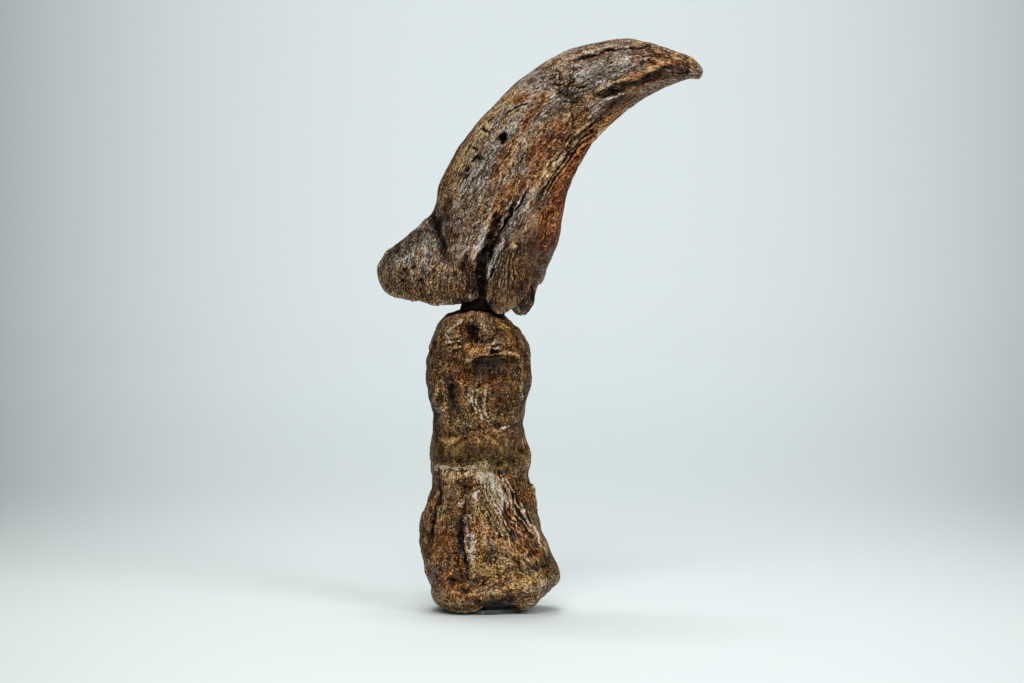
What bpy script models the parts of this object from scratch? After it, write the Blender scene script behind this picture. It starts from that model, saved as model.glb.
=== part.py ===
"""A dinosaur's fossil claw, standing on the toe bone that it is glued to.

The frame: +Z is up and the origin is on the surface that the specimen stands on, under the middle of the
toe bone. The claw's median plane is the XZ plane, its tip reaches towards +X, and -Y is its near flank.
Every number below is in millimetres unless its comment says otherwise.
"""

import math
from collections import namedtuple

import bmesh
import bpy
import numpy as np
from mathutils import Matrix, Vector, noise
from mathutils.bvhtree import BVHTree

MM = 0.001
PIECE_GAP = 0.34

# Driving dimensions of the whole specimen.
OVERALL_HEIGHT = 88.0
TOE_BONE_TOP = 46.5
TOE_BONE_TURN = 15.0  # degrees about Z from the claw's median plane to the toe bone's own

# The claw from its joint to its tip: upper edge (x, z), lower edge (x, z), half width, how much wider the
# section is at its lower edge than at its upper one, and how square its lower edge is (2 is an ellipse).
Station = namedtuple("Station", "upper lower half_width skew squareness")
CLAW_STATIONS = (
    Station((-14.6, 48.3), (8.4, 50.6), 4.1, 0.45, 3.0),
    Station((-16.7, 49.8), (8.8, 51.3), 4.3, 0.42, 3.0),
    Station((-17.7, 52.6), (9.0, 52.2), 4.5, 0.38, 3.0),
    Station((-16.2, 55.2), (9.4, 53.4), 4.6, 0.34, 2.9),
    Station((-13.2, 57.4), (10.0, 54.8), 4.7, 0.28, 2.8),
    Station((-10.0, 60.2), (10.8, 56.5), 4.7, 0.20, 2.7),
    Station((-8.3, 62.9), (11.4, 58.6), 4.7, 0.10, 2.5),
    Station((-7.5, 65.8), (11.9, 61.0), 4.6, 0.00, 2.3),
    Station((-5.9, 68.7), (12.3, 63.0), 4.5, -0.06, 2.2),
    Station((-3.8, 72.2), (12.9, 65.0), 4.4, -0.10, 2.1),
    Station((-0.9, 75.8), (13.7, 67.0), 4.3, -0.12, 2.0),
    Station((2.8, 79.5), (15.3, 69.9), 4.15, -0.12, 2.0),
    Station((7.1, 83.1), (17.4, 72.8), 3.95, -0.12, 2.0),
    Station((11.8, 85.8), (19.7, 75.2), 3.65, -0.10, 2.0),
    Station((16.3, 87.3), (22.0, 77.0), 3.3, -0.08, 2.0),
    Station((20.9, OVERALL_HEIGHT), (24.8, 79.0), 2.9, -0.06, 2.0),
    Station((25.6, 87.4), (27.3, 80.3), 2.4, -0.04, 2.0),
    Station((29.5, 86.2), (29.7, 81.3), 1.9, 0.0, 2.0),
    Station((32.5, 84.9), (31.9, 82.0), 1.3, 0.0, 2.0),
    Station((33.8, 83.6), (33.1, 81.9), 0.7, 0.0, 2.0),
)
UPPER_SQUARENESS = 2.1

# How far the joint's rim hangs below the line between its ends: share of the way from heel to lower edge,
# then the drop. Each flank ends in a prong, and the far one is the longer.
NEAR_RIM = ((0, 0), (0.12, 0.7), (0.30, 1.6), (0.44, 2.0), (0.53, 1.9), (0.60, 1.5), (0.66, 1.7), (0.72, 2.5),
            (0.79, 3.2), (0.84, 2.9), (0.90, 2.2), (0.95, 1.4), (1, 0))
FAR_RIM = ((0, 0), (0.12, 0.6), (0.30, 1.4), (0.50, 1.9), (0.64, 1.5), (0.75, 3.2), (0.82, 4.4), (0.86, 3.8),
           (0.90, 1.4), (0.94, 0.2), (1, 0))
RIM_REACH = 0.13  # share of the claw's length over which the rim's shape fades out
RELIEF_FADE = 0.3  # share of a relief's path over which each end fades
DOT_POINTS = 2  # a path of two points is a straight dot, which doesn't fade
FLANK_BLEND = 0.9  # each side of the median plane, over which one flank's relief gives way to the other's
CLAW_CUP_RISE = 1.3
CLAW_CUP_LIP = 0.2
CLAW_CUP_WALL = 2.7
CLAW_CUP_INSETS = (3.6, 3.0, 2.4, 1.9, 1.4, 0.9, 0.45)
CLAW_CUP_NARROWING = 1.25
TIP_ROUNDING = ((0.8, 0.2), (0.45, 0.32))  # size of each last ring, and how far it stands past the tip
TIP_RINGS_BACK = 6  # the tip points away from the ring this many before it

# Relief: a path, how far it spreads to each side, its height (cut in where negative), and its flank. It fades
# towards both ends of its path, so one that meets the joint starts a little beyond it.
NEAR, FAR, BOTH = -1, 1, 0
Relief = namedtuple("Relief", "path spread height flank", defaults=(BOTH,))
CLAW_RELIEF = {
    "trough": Relief(((0.4, 46.0), (0.2, 48.9), (0.1, 51.4), (0.7, 54.1), (1.9, 56.7), (3.6, 59.3),
                      (5.5, 62.1), (8.4, 65.6)), 0.95, -1.6, NEAR),
    "flange": Relief(((5.8, 60.2), (4.9, 56.6), (4.2, 52.6), (3.5, 49.4), (3.4, 42.0)), 1.6, 1.0, NEAR),
    "flange facet": Relief(((8.4, 60.0), (7.9, 54.0), (7.4, 48.0)), 1.4, -0.8, NEAR),
    "lower groove": Relief(((7.6, 58.4), (9.1, 63.6), (10.6, 65.9), (13.6, 70.6), (17.2, 74.6), (22.4, 79.4)),
                           0.75, -1.0, NEAR),
    "wall ridge": Relief(((4.6, 56.8), (8.4, 64.4), (10.4, 67.6), (14.0, 72.6), (19.6, 78.6)), 0.6, 0.4,
                         NEAR),
    "step under the plate": Relief(((15.8, 79.0), (18.8, 79.9), (21.0, 80.3), (23.4, 81.4), (27.4, 82.8)),
                                   0.65, -0.8, NEAR),
    "plate": Relief(((11.8, 81.8), (18.6, 83.7), (23.6, 84.6), (30.4, 84.6)), 1.7, 0.5, NEAR),
    "break": Relief(((8.8, 82.0), (11.9, 80.9), (12.7, 78.6), (12.6, 75.0)), 0.9, -0.25, NEAR),
    "long crack": Relief(((12.6, 83.3), (15.2, 84.9), (18.0, 85.9), (23.4, 86.8)), 0.4, -0.35, NEAR),
    "heel hollow": Relief(((-8.2, 64.0), (-7.0, 59.2), (-6.0, 55.4), (-4.2, 50.6)), 1.9, -0.9, BOTH),
    "heel lobe": Relief(((-16.4, 54.0), (-10.6, 51.4), (-4.4, 49.8)), 2.3, 0.45, BOTH),
    "vessel hole": Relief(((3.2, 72.9), (3.7, 73.3)), 0.5, -0.9, NEAR),
    "small hole": Relief(((-0.1, 69.8), (0.1, 70.0)), 0.45, -0.5, NEAR),
    "far groove": Relief(((-2.0, 45.0), (1.8, 56.8), (5.8, 62.6), (10.6, 68.4), (15.8, 74.6), (22.0, 79.6),
                          (30.0, 83.4)), 1.0, -1.1, FAR),
    "far flange": Relief(((5.4, 60.0), (5.4, 53.0), (5.6, 43.0)), 1.7, 0.9, FAR),
    "far swelling": Relief(((-1.0, 68.0), (4.0, 76.0)), 3.0, 0.3, FAR),
    "far vessel hole": Relief(((1.8, 71.0), (2.3, 71.5)), 0.5, -0.8, FAR),
    "far crack": Relief(((6.0, 80.5), (9.5, 82.3), (13.0, 83.0), (18.5, 84.6)), 0.5, -0.4, FAR),
}

# The toe bone in its own plane: height, left and right edge of its outline, half depth across, squareness.
Level = namedtuple("Level", "z left right half_depth squareness")
TOE_BONE_LEVELS = (
    Level(1.2, -7.9, 8.2, 6.1, 2.6),
    Level(2.6, -8.6, 10.1, 7.0, 2.6),
    Level(4.2, -8.8, 11.1, 7.5, 2.5),
    Level(6.2, -9.5, 11.1, 7.7, 2.4),
    Level(8.6, -10.2, 10.2, 7.6, 2.4),
    Level(11.2, -10.4, 9.0, 7.1, 2.3),
    Level(14.2, -10.1, 8.3, 6.4, 2.3),
    Level(17.5, -9.4, 7.7, 5.9, 2.3),
    Level(21.0, -8.5, 6.4, 5.6, 2.4),
    Level(24.2, -8.6, 6.5, 5.6, 2.4),
    Level(27.6, -8.3, 5.9, 5.5, 2.4),
    Level(31.5, -8.4, 6.0, 5.8, 2.5),
    Level(35.2, -9.1, 6.7, 6.2, 2.7),
    Level(38.4, -9.4, 6.9, 6.5, 2.9),
    Level(40.9, -8.9, 6.6, 6.5, 3.0),
    Level(42.8, -8.4, 5.6, 6.3, 3.0),
    Level(44.3, -7.6, 4.1, 6.0, 3.0),
    Level(45.5, -6.4, 2.4, 5.5, 3.0),
    Level(46.2, -4.8, 1.3, 4.9, 3.0),
    Level(TOE_BONE_TOP, -3.0, 0.6, 4.3, 3.0),
)

# The underside of the toe bone: how high it stands at each place along the bone's own X.
UNDERSIDE = ((-9.0, 2.0), (-7.6, 1.1), (-6.4, 0.72), (-1.6, 0.7), (-0.5, 1.3), (1.6, 2.0), (3.7, 1.7),
             (5.0, 0.85), (6.7, 0.8), (8.2, 1.6), (10.0, 2.8))
UNDERSIDE_LIFT_TOP = 6.2  # the underside's shape fades out by this height
UNDERSIDE_HOLLOW = 1.1
UNDERSIDE_HOLLOW_INSETS = (1.7, 4.6)  # where the hollow starts and where it is full
UNDERSIDE_INSETS = (5.4, 4.4, 3.4, 2.4, 1.6, 0.8)
SMOOTH_FEET = (0.9, 2.2)  # the bone has no relief below the first height and all of it above the second

# Relief on the toe bone: (angle in degrees from its front towards +X, height), spread and height.
TOE_BONE_RELIEF = {
    "ligament pit": Relief(((4, 37.6), (18, 37.2)), 1.9, -1.0),
    "arc over the pit": Relief(((-22, 38.6), (-8, 40.4), (12, 41.2), (38, 40.8)), 0.8, 0.6),
    "left knuckle": Relief(((-46, 42.6), (-24, 43.4)), 1.6, 0.4),
    "knuckle cleft": Relief(((-9, 44.6), (-3, 42.2)), 0.8, -0.8),
    "left rib": Relief(((-60, 38.4), (-58, 33.0), (-52, 28.0)), 1.0, 0.5),
    "left rib groove": Relief(((-40, 37.6), (-38, 33.4), (-34, 30.2)), 0.9, -0.6),
    "centre pit": Relief(((-6, 33.6), (-7, 31.8)), 0.9, -0.45),
    "waist band": Relief(((-210, 24.0), (-60, 24.6), (60, 24.0), (210, 24.0)), 1.7, 0.14),
    "upper waist line": Relief(((-100, 27.4), (-20, 28.0), (40, 29.2), (100, 28.6)), 0.7, -0.3),
    "lower waist line": Relief(((-95, 21.6), (-20, 22.2), (40, 22.0), (100, 21.2)), 0.6, -0.28),
    "front groove": Relief(((-22, 23.0), (-24, 14.5), (-24, 9.0), (-20, 2.0)), 1.1, -1.2),
    "front keel": Relief(((-2, 20.4), (-3, 14.0), (2, 8.6)), 1.4, 0.6),
    "left swelling": Relief(((-62, 16.0), (-60, 9.0)), 2.2, 0.5),
    "right groove": Relief(((34, 18.2), (42, 12.0), (50, 7.6)), 0.9, -0.6),
    "right ledge": Relief(((56, 18.6), (64, 12.6), (74, 7.0)), 1.1, 0.6),
    "base rim": Relief(((-80, 3.2), (-30, 3.0), (30, 4.2), (80, 5.2)), 1.5, 0.5),
    "left foot": Relief(((-62, 2.0), (-24, 1.6)), 1.4, 0.4),
    "back pit": Relief(((172, 37.4), (184, 37.0)), 2.0, -0.9),
    "back ridge": Relief(((160, 19.0), (166, 12.0), (158, 5.0)), 1.6, 0.7),
    "back groove": Relief(((196, 19.0), (198, 11.0)), 1.3, -0.8),
    "right side groove": Relief(((96, 20.0), (98, 12.0), (94, 7.0)), 1.4, -0.7),
    "left side groove": Relief(((-98, 19.0), (-100, 8.0)), 1.4, -0.7),
}
TOE_BONE_AXIS_X = -1.2
TOE_BONE_RADIUS = 8.0
CONDYLE_GROOVE_HEIGHTS = (35.0, 40.0)
CONDYLE_GROOVE_SPREAD = 1.5
CONDYLE_GROOVE_DEPTH = 0.8

# Natural unevenness of the bone: wavelength and height of each layer.
CLAW_UNEVENNESS = ((6.0, 0.20), (2.6, 0.14), (1.3, 0.08))
TOE_BONE_UNEVENNESS = ((6.5, 0.35), (3.0, 0.34), (1.5, 0.20))
HEEL_ROUGHER = 0.7  # the heel's unevenness is larger by this share
HEEL_FROM_X, HEEL_FULL_X = -3.0, -9.0
HEEL_FROM_Z, HEEL_FULL_Z = 64.0, 58.0
CLAW_SEED, TOE_BONE_SEED = 1, 2
SEED_SHIFT = Vector((17.3, 5.1, 9.7))  # how far apart the noise of two seeds is read

# The glue between claw and toe bone, and the putty that the toe bone stands in.
FILLER_CENTRE = (-0.7, -0.2)
FILLER_HALF_SIZE = (3.0, 2.9)
FILLER_WAIST = 0.15
FILLER_END_SIZES = (0.3, 0.65)  # the rings that close each end
RAY_START = TOE_BONE_TOP + 1.0  # a height between the two bones
PUTTY_CENTRE = (0.2, 0.0)
PUTTY_HALF_SIZE = (6.0, 5.0)
PUTTY_THICKNESS = 0.34
PUTTY_EDGE_ROUND = 0.1
PUTTY_WAVES = ((3, 0.05, 0.6), (7, 0.035, 0.0))  # count round the edge, share of the radius, and phase

CLAW_RINGS, CLAW_AROUND, CLAW_TRIANGLES = 170, 96, 5400
TOE_BONE_RINGS, TOE_BONE_AROUND, TOE_BONE_TRIANGLES = 130, 112, 3700
FILLER_RINGS, FILLER_AROUND = 5, 20
PUTTY_AROUND = 36

# Colour (linear red, green, blue) and roughness of each material.
MATERIALS = {
    "claw": ((0.105, 0.062, 0.038), 0.38),
    "toe_bone": ((0.100, 0.060, 0.032), 0.42),
    "joint_filler": ((0.050, 0.031, 0.020), 0.50),
    "base_putty": ((0.230, 0.270, 0.250), 0.60),
}


def through(knots, values, at):
    """Values on the smooth curve through the given knots (Catmull-Rom), for each place in at."""
    knots = np.asarray(knots, float)
    values = np.asarray(values, float).reshape(len(knots), -1)
    slopes = np.gradient(values, knots, axis=0)
    at = np.clip(np.asarray(at, float), knots[0], knots[-1])
    left = np.clip(np.searchsorted(knots, at, side="right") - 1, 0, len(knots) - 2)
    span = (knots[left + 1] - knots[left])[:, None]
    share = (at - knots[left])[:, None] / span
    square, cube = share**2, share**3
    return (
        values[left] * (2 * cube - 3 * square + 1)
        + values[left + 1] * (3 * square - 2 * cube)
        + slopes[left] * span * (cube - 2 * square + share)
        + slopes[left + 1] * span * (cube - square)
    )


def curve_of(pairs, at):
    """The second number of each pair as a smooth function of the first."""
    knots, values = zip(*pairs)
    return through(knots, values, np.ravel(at))[:, 0].reshape(np.shape(at))


def smooth_path(path, count=24):
    """Points at even steps of the path's parameter along a smooth curve through its corners."""
    path = np.asarray(path, float)
    steps = np.linalg.norm(np.diff(path, axis=0), axis=1)
    knots = np.concatenate([[0], np.cumsum(steps)])
    if len(path) == DOT_POINTS:
        return path
    return through(knots, path, np.linspace(0, knots[-1], count))


def nearest_on(points, path):
    """How far each 2-D point is from a path of straight steps, and its share of the way along the path."""
    nearest = np.full(len(points), np.inf)
    place = np.zeros(len(points))
    for step, (start, end) in enumerate(zip(path[:-1], path[1:])):
        along = end - start
        share = np.clip((points - start) @ along / (along @ along), 0, 1)
        distance = np.linalg.norm(points - start - share[:, None] * along, axis=1)
        closer = distance < nearest
        nearest[closer] = distance[closer]
        place[closer] = (step + share[closer]) / (len(path) - 1)
    return nearest, place


def smooth_step(low, high, value):
    share = np.clip((value - low) / (high - low), 0, 1)
    return share * share * (3 - 2 * share)


def relief_height(points, relief):
    """The height that one relief adds at each 2-D point."""
    distance, place = nearest_on(points, smooth_path(relief.path))
    height = relief.height * np.exp(-((distance / relief.spread) ** 2))
    if len(relief.path) == DOT_POINTS:
        return height
    return height * smooth_step(0, RELIEF_FADE, place) * smooth_step(0, RELIEF_FADE, 1 - place)


def unevenness(points, layers, seed):
    """Layered noise at 3-D points in millimetres."""
    shift = SEED_SHIFT * seed
    heights = np.zeros(len(points))
    for wavelength, height in layers:
        heights += [height * noise.noise(Vector(point) / wavelength + shift) for point in points]
    return heights


def superellipse(angles, squareness):
    """Unit directions (cosine, sine) bent towards a rectangle's."""
    power = 2 / np.broadcast_to(squareness, angles.shape)
    cosine, sine = np.cos(angles), np.sin(angles)
    return np.sign(cosine) * np.abs(cosine) ** power, np.sign(sine) * np.abs(sine) ** power


def loft(name, rings, mirror):
    """A closed mesh from rings of equal length; mirror[i] is the ring point that each end joins i to."""
    shape = bmesh.new()
    rows = [[shape.verts.new(Vector(point) * MM) for point in ring] for ring in rings]
    around = len(mirror)
    for lower, upper in zip(rows[:-1], rows[1:]):
        for i in range(around):
            j = (i + 1) % around
            shape.faces.new((lower[i], lower[j], upper[j], upper[i]))
    for row in (rows[0], rows[-1]):
        for i in range(around):
            j = (i + 1) % around
            corners = list(dict.fromkeys((row[i], row[j], row[mirror[j]], row[mirror[i]])))
            if len(corners) > 2 and i < mirror[j]:
                shape.faces.new(corners)
    bmesh.ops.recalc_face_normals(shape, faces=shape.faces)
    mesh = bpy.data.meshes.new(name)
    shape.to_mesh(mesh)
    shape.free()
    return mesh


def points_of(mesh, attribute="co"):
    values = np.empty(len(mesh.vertices) * 3)
    mesh.vertices.foreach_get(attribute, values)
    return values.reshape(-1, 3)


def raise_surface(mesh, heights):
    """Moves each point along its normal by its height in millimetres."""
    points = points_of(mesh) + points_of(mesh, "normal") * heights[:, None] * MM
    mesh.vertices.foreach_set("co", points.ravel())
    mesh.update()


def material_of(name):
    colour, roughness = MATERIALS[name]
    material = bpy.data.materials.new(name)
    material.use_nodes = True
    shader = material.node_tree.nodes["Principled BSDF"]
    shader.inputs["Base Color"].default_value = (*colour, 1)
    shader.inputs["Roughness"].default_value = roughness
    material.diffuse_color = (*colour, 1)
    return material


def add_piece(name, mesh, collection):
    piece = bpy.data.objects.new(name, mesh)
    mesh.materials.append(material_of(name))
    mesh.shade_smooth()
    collection.objects.link(piece)
    return piece


def thin_out(piece, triangles):
    """Fewer triangles, kept where the relief needs them."""
    piece.data.calc_loop_triangles()
    decimate = piece.modifiers.new("thin out", "DECIMATE")
    decimate.ratio = triangles / len(piece.data.loop_triangles)
    decimate.use_collapse_triangulate = True


def claw_stations(shares):
    """The stations' values, read smoothly at each share of the claw's length."""
    values = np.array([[*s.upper, *s.lower, s.half_width, s.skew, s.squareness] for s in CLAW_STATIONS])
    middle = (values[:, :2] + values[:, 2:4]) / 2
    length = np.concatenate([[0], np.cumsum(np.linalg.norm(np.diff(middle, axis=0), axis=1))])
    return through(length / length[-1], values, shares)


def claw_section(station, angles):
    """The ring of points (n, 3) of one section, and each one's share of the way to the lower edge."""
    upper, lower = station[:2], station[2:4]
    half_width, skew, squareness = station[4:]
    bend = np.where(np.cos(angles) > 0, squareness, UPPER_SQUARENESS)
    along, across = superellipse(angles, bend)
    share = (1 + along) / 2
    edge = upper + share[:, None] * (lower - upper)
    width = half_width * across * (1 + skew * along * 0.5)
    return np.column_stack([edge[:, 0], width, edge[:, 1]]), share


def rim_drop(ring, share):
    """How far the joint's rim hangs down at each point of a ring."""
    far = smooth_step(-FLANK_BLEND, FLANK_BLEND, ring[:, 1])
    return (1 - far) * curve_of(NEAR_RIM, share) + far * curve_of(FAR_RIM, share)


def claw_cup(rim, rim_share, station):
    """Rings from inside the joint's hollow out to its rim."""
    centre = (station[:2] + station[2:4]) / 2
    half_length = np.linalg.norm(station[2:4] - station[:2]) / 2
    half_width = station[4]
    drop = rim_drop(rim, rim_share)
    rings = []
    for inset in CLAW_CUP_INSETS:
        ring = rim.copy()
        ring[:, 0] = centre[0] + (rim[:, 0] - centre[0]) * (1 - inset / half_length)
        ring[:, 1] = rim[:, 1] * (1 - inset / (half_width * CLAW_CUP_NARROWING))
        inside = smooth_step(CLAW_CUP_LIP, CLAW_CUP_WALL, inset)
        chord = station[1] + (station[3] - station[1]) * (ring[:, 0] - station[0]) / (station[2] - station[0])
        outer = chord - drop
        ring[:, 2] = outer + inside * (chord + CLAW_CUP_RISE - outer)
        rings.append(ring)
    return rings


def claw_rings():
    angles = np.arange(CLAW_AROUND) * math.tau / CLAW_AROUND
    shares = np.linspace(0, 1, CLAW_RINGS)
    rings = []
    for share, station in zip(shares, claw_stations(shares)):
        ring, edge_share = claw_section(station, angles)
        fade = 1 - smooth_step(0, RIM_REACH, share)
        ring[:, 2] -= fade * rim_drop(ring, edge_share)
        if not rings:
            rings.extend(claw_cup(claw_section(station, angles)[0], edge_share, station))
        rings.append(ring)
    tip_centre = rings[-1].mean(axis=0)
    forward = tip_centre - rings[-TIP_RINGS_BACK].mean(axis=0)
    forward /= np.linalg.norm(forward)
    for size, reach in TIP_ROUNDING:
        rings.append(tip_centre + (ring - tip_centre) * size + forward * reach)
    return rings


def claw_relief(points):
    """The height of every relief at points in millimetres on the claw."""
    flat = points[:, [0, 2]]
    far = smooth_step(-FLANK_BLEND, FLANK_BLEND, points[:, 1])
    side_weight = {NEAR: 1 - far, FAR: far, BOTH: 1.0}
    return sum(relief_height(flat, relief) * side_weight[relief.flank] for relief in CLAW_RELIEF.values())


def make_claw(collection):
    mirror = [(-i) % CLAW_AROUND for i in range(CLAW_AROUND)]
    mesh = loft("claw", claw_rings(), mirror)
    points = points_of(mesh) / MM
    x, _, z = points.T
    heel = smooth_step(HEEL_FROM_X, HEEL_FULL_X, x) * smooth_step(HEEL_FROM_Z, HEEL_FULL_Z, z)
    rough = unevenness(points, CLAW_UNEVENNESS, CLAW_SEED) * (1 + HEEL_ROUGHER * heel)
    raise_surface(mesh, claw_relief(points) + rough)
    claw = add_piece("claw", mesh, collection)
    thin_out(claw, CLAW_TRIANGLES)
    return claw


def toe_bone_rings():
    angles = np.arange(TOE_BONE_AROUND) * math.tau / TOE_BONE_AROUND
    levels = np.array(TOE_BONE_LEVELS)
    steps = np.linalg.norm(np.diff(levels[:, :3], axis=0), axis=1)
    knots = np.concatenate([[0], np.cumsum(steps)])
    rings = []
    for row in through(knots, levels, np.linspace(0, knots[-1], TOE_BONE_RINGS)):
        z, left, right, half_depth, squareness = row
        along, across = superellipse(angles, squareness)
        x = (left + right) / 2 + along * (right - left) / 2
        first = TOE_BONE_LEVELS[0].z
        lift = (curve_of(UNDERSIDE, x) - first) * (1 - smooth_step(first, UNDERSIDE_LIFT_TOP, z))
        rings.append(np.column_stack([x, across * half_depth, z + lift]))
    return rings


def toe_bone_hollow(rim):
    """Rings from inside the underside's hollow out to the rim that the bone stands on."""
    centre = rim.mean(axis=0)
    half_depth = np.abs(rim[:, 1]).max()
    half_length = np.ptp(rim[:, 0]) / 2
    rings = []
    for inset in UNDERSIDE_INSETS:
        ring = rim.copy()
        ring[:, 0] = centre[0] + (rim[:, 0] - centre[0]) * (1 - inset / half_length)
        ring[:, 1] = rim[:, 1] * (1 - inset / half_depth)
        hollow = UNDERSIDE_HOLLOW * smooth_step(*UNDERSIDE_HOLLOW_INSETS, inset)
        ring[:, 2] = curve_of(UNDERSIDE, ring[:, 0]) + hollow
        rings.append(ring)
    return rings


def toe_bone_relief(points):
    """The height of every relief at points in millimetres on the toe bone."""
    x, y, z = points.T
    heights = np.zeros(len(points))
    angle = np.degrees(np.arctan2(x - TOE_BONE_AXIS_X, -y))
    for turn in (-360, 0, 360):
        unrolled = np.column_stack([np.radians(angle + turn) * TOE_BONE_RADIUS, z])
        for relief in TOE_BONE_RELIEF.values():
            path = [(math.radians(degrees) * TOE_BONE_RADIUS, height) for degrees, height in relief.path]
            heights += relief_height(unrolled, relief._replace(path=path))
    groove = np.exp(-((y / CONDYLE_GROOVE_SPREAD) ** 2)) * smooth_step(*CONDYLE_GROOVE_HEIGHTS, z)
    return heights - CONDYLE_GROOVE_DEPTH * groove


def make_toe_bone(collection):
    mirror = [(-i) % TOE_BONE_AROUND for i in range(TOE_BONE_AROUND)]
    rings = toe_bone_rings()
    mesh = loft("toe_bone", toe_bone_hollow(rings[0]) + rings, mirror)
    points = points_of(mesh) / MM
    heights = toe_bone_relief(points) + unevenness(points, TOE_BONE_UNEVENNESS, TOE_BONE_SEED)
    raise_surface(mesh, heights * smooth_step(*SMOOTH_FEET, points[:, 2]))
    mesh.transform(Matrix.Rotation(math.radians(TOE_BONE_TURN), 4, "Z"))
    toe_bone = add_piece("toe_bone", mesh, collection)
    thin_out(toe_bone, TOE_BONE_TRIANGLES)
    return toe_bone


def make_filler(collection, claw, toe_bone):
    """A waisted plug whose ends follow the two bones' faces, a little clear of them."""
    graph = bpy.context.evaluated_depsgraph_get()
    above, below = BVHTree.FromObject(claw, graph), BVHTree.FromObject(toe_bone, graph)
    turn = math.radians(TOE_BONE_TURN)
    angles = np.arange(FILLER_AROUND) * math.tau / FILLER_AROUND

    def ends_at(x, y):
        start = Vector((x, y, RAY_START)) * MM
        top = above.ray_cast(start, Vector((0, 0, 1)))[0]
        bottom = below.ray_cast(start, Vector((0, 0, -1)))[0]
        return bottom.z / MM + PIECE_GAP, top.z / MM - PIECE_GAP

    def ring_at(size, height):
        ring = []
        for angle in angles:
            x = math.cos(angle) * FILLER_HALF_SIZE[0] * size
            y = math.sin(angle) * FILLER_HALF_SIZE[1] * size
            place = (
                FILLER_CENTRE[0] + x * math.cos(turn) - y * math.sin(turn),
                FILLER_CENTRE[1] + x * math.sin(turn) + y * math.cos(turn),
            )
            low, high = ends_at(*place)
            ring.append((*place, low + (high - low) * height))
        return ring

    rings = [ring_at(size, 0) for size in FILLER_END_SIZES]
    for step in range(FILLER_RINGS):
        height = step / (FILLER_RINGS - 1)
        rings.append(ring_at(1 - FILLER_WAIST * math.sin(math.pi * height) ** 2, height))
    rings += [ring_at(size, 1) for size in reversed(FILLER_END_SIZES)]
    mirror = [(-i) % FILLER_AROUND for i in range(FILLER_AROUND)]
    return add_piece("joint_filler", loft("joint_filler", rings, mirror), collection)


def make_putty(collection):
    """A thin pressed-out pad with a wavy outline and a flat underside."""
    shape = bmesh.new()
    bmesh.ops.create_circle(shape, cap_ends=True, segments=PUTTY_AROUND, radius=1)
    for vertex in shape.verts:
        angle = math.atan2(vertex.co.y, vertex.co.x)
        wave = 1 + sum(share * math.sin(count * angle + phase) for count, share, phase in PUTTY_WAVES)
        vertex.co.x *= PUTTY_HALF_SIZE[0] * wave * MM
        vertex.co.y *= PUTTY_HALF_SIZE[1] * wave * MM
    sides = bmesh.ops.extrude_face_region(shape, geom=shape.faces[:])
    top = [part for part in sides["geom"] if isinstance(part, bmesh.types.BMVert)]
    bmesh.ops.translate(shape, verts=top, vec=(0, 0, PUTTY_THICKNESS * MM))
    top_edges = [edge for edge in shape.edges if all(vertex in top for vertex in edge.verts)]
    bmesh.ops.bevel(shape, geom=top_edges, offset=PUTTY_EDGE_ROUND * MM, segments=1, affect="EDGES")
    bmesh.ops.recalc_face_normals(shape, faces=shape.faces)
    mesh = bpy.data.meshes.new("base_putty")
    shape.to_mesh(mesh)
    shape.free()
    mesh.transform(Matrix.Translation(Vector((*PUTTY_CENTRE, 0)) * MM))
    mesh.transform(Matrix.Rotation(math.radians(TOE_BONE_TURN), 4, "Z"))
    return add_piece("base_putty", mesh, collection)


def clear_scene():
    for thing in list(bpy.data.objects):
        bpy.data.objects.remove(thing)


def main():
    clear_scene()
    collection = bpy.data.collections.new("fossil_claw")
    bpy.context.scene.collection.children.link(collection)
    claw = make_claw(collection)
    toe_bone = make_toe_bone(collection)
    bpy.context.view_layer.update()
    make_filler(collection, claw, toe_bone)
    make_putty(collection)


main()
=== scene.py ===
"""The looks of a dinosaur's fossil claw, standing on the toe bone that it is glued to.

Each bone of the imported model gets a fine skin: its faces are made small and even, then shaped by named
strokes and by grain, pits and grit. Lengths in the tables are millimetres in the model's frame: +Z is up, the
claw's tip reaches towards +X and its near flank faces -Y.
"""

import itertools
import math
from collections import namedtuple
from types import SimpleNamespace

import bmesh
import bpy
import numpy as np
from mathutils import Matrix, Vector

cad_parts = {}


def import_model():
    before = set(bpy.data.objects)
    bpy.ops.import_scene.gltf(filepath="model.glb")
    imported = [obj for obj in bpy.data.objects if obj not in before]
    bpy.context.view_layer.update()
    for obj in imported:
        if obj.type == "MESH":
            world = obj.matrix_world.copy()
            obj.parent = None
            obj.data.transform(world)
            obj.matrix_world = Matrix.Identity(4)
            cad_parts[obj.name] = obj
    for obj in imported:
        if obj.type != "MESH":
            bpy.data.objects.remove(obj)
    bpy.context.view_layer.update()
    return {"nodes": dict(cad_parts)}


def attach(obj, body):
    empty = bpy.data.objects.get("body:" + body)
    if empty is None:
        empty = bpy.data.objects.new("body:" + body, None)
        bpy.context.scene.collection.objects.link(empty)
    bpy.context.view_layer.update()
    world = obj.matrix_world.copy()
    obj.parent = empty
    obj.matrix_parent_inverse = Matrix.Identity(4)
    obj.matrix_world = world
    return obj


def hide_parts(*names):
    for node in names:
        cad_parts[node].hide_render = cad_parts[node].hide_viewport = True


MM = 0.001
TINY = 1e-6

# How each skin is made fine: the size of its faces, and the smoothing steps that take the facets away.
CLAW_FACE = 0.192
TOE_BONE_FACE = 0.194
FILLER_FACE = 0.12
PUTTY_FACE = 0.11
SMOOTHING_STEPS = 26
SMOOTH_IN, SMOOTH_OUT = 0.5, -0.52
CAVITY_SCALES = {"fine_cavity": 2, "cavity": 22, "hollow": 160}  # smoothing steps of each
CAVITY_LIMIT = 3.0
WELD = 1e-4

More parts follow.
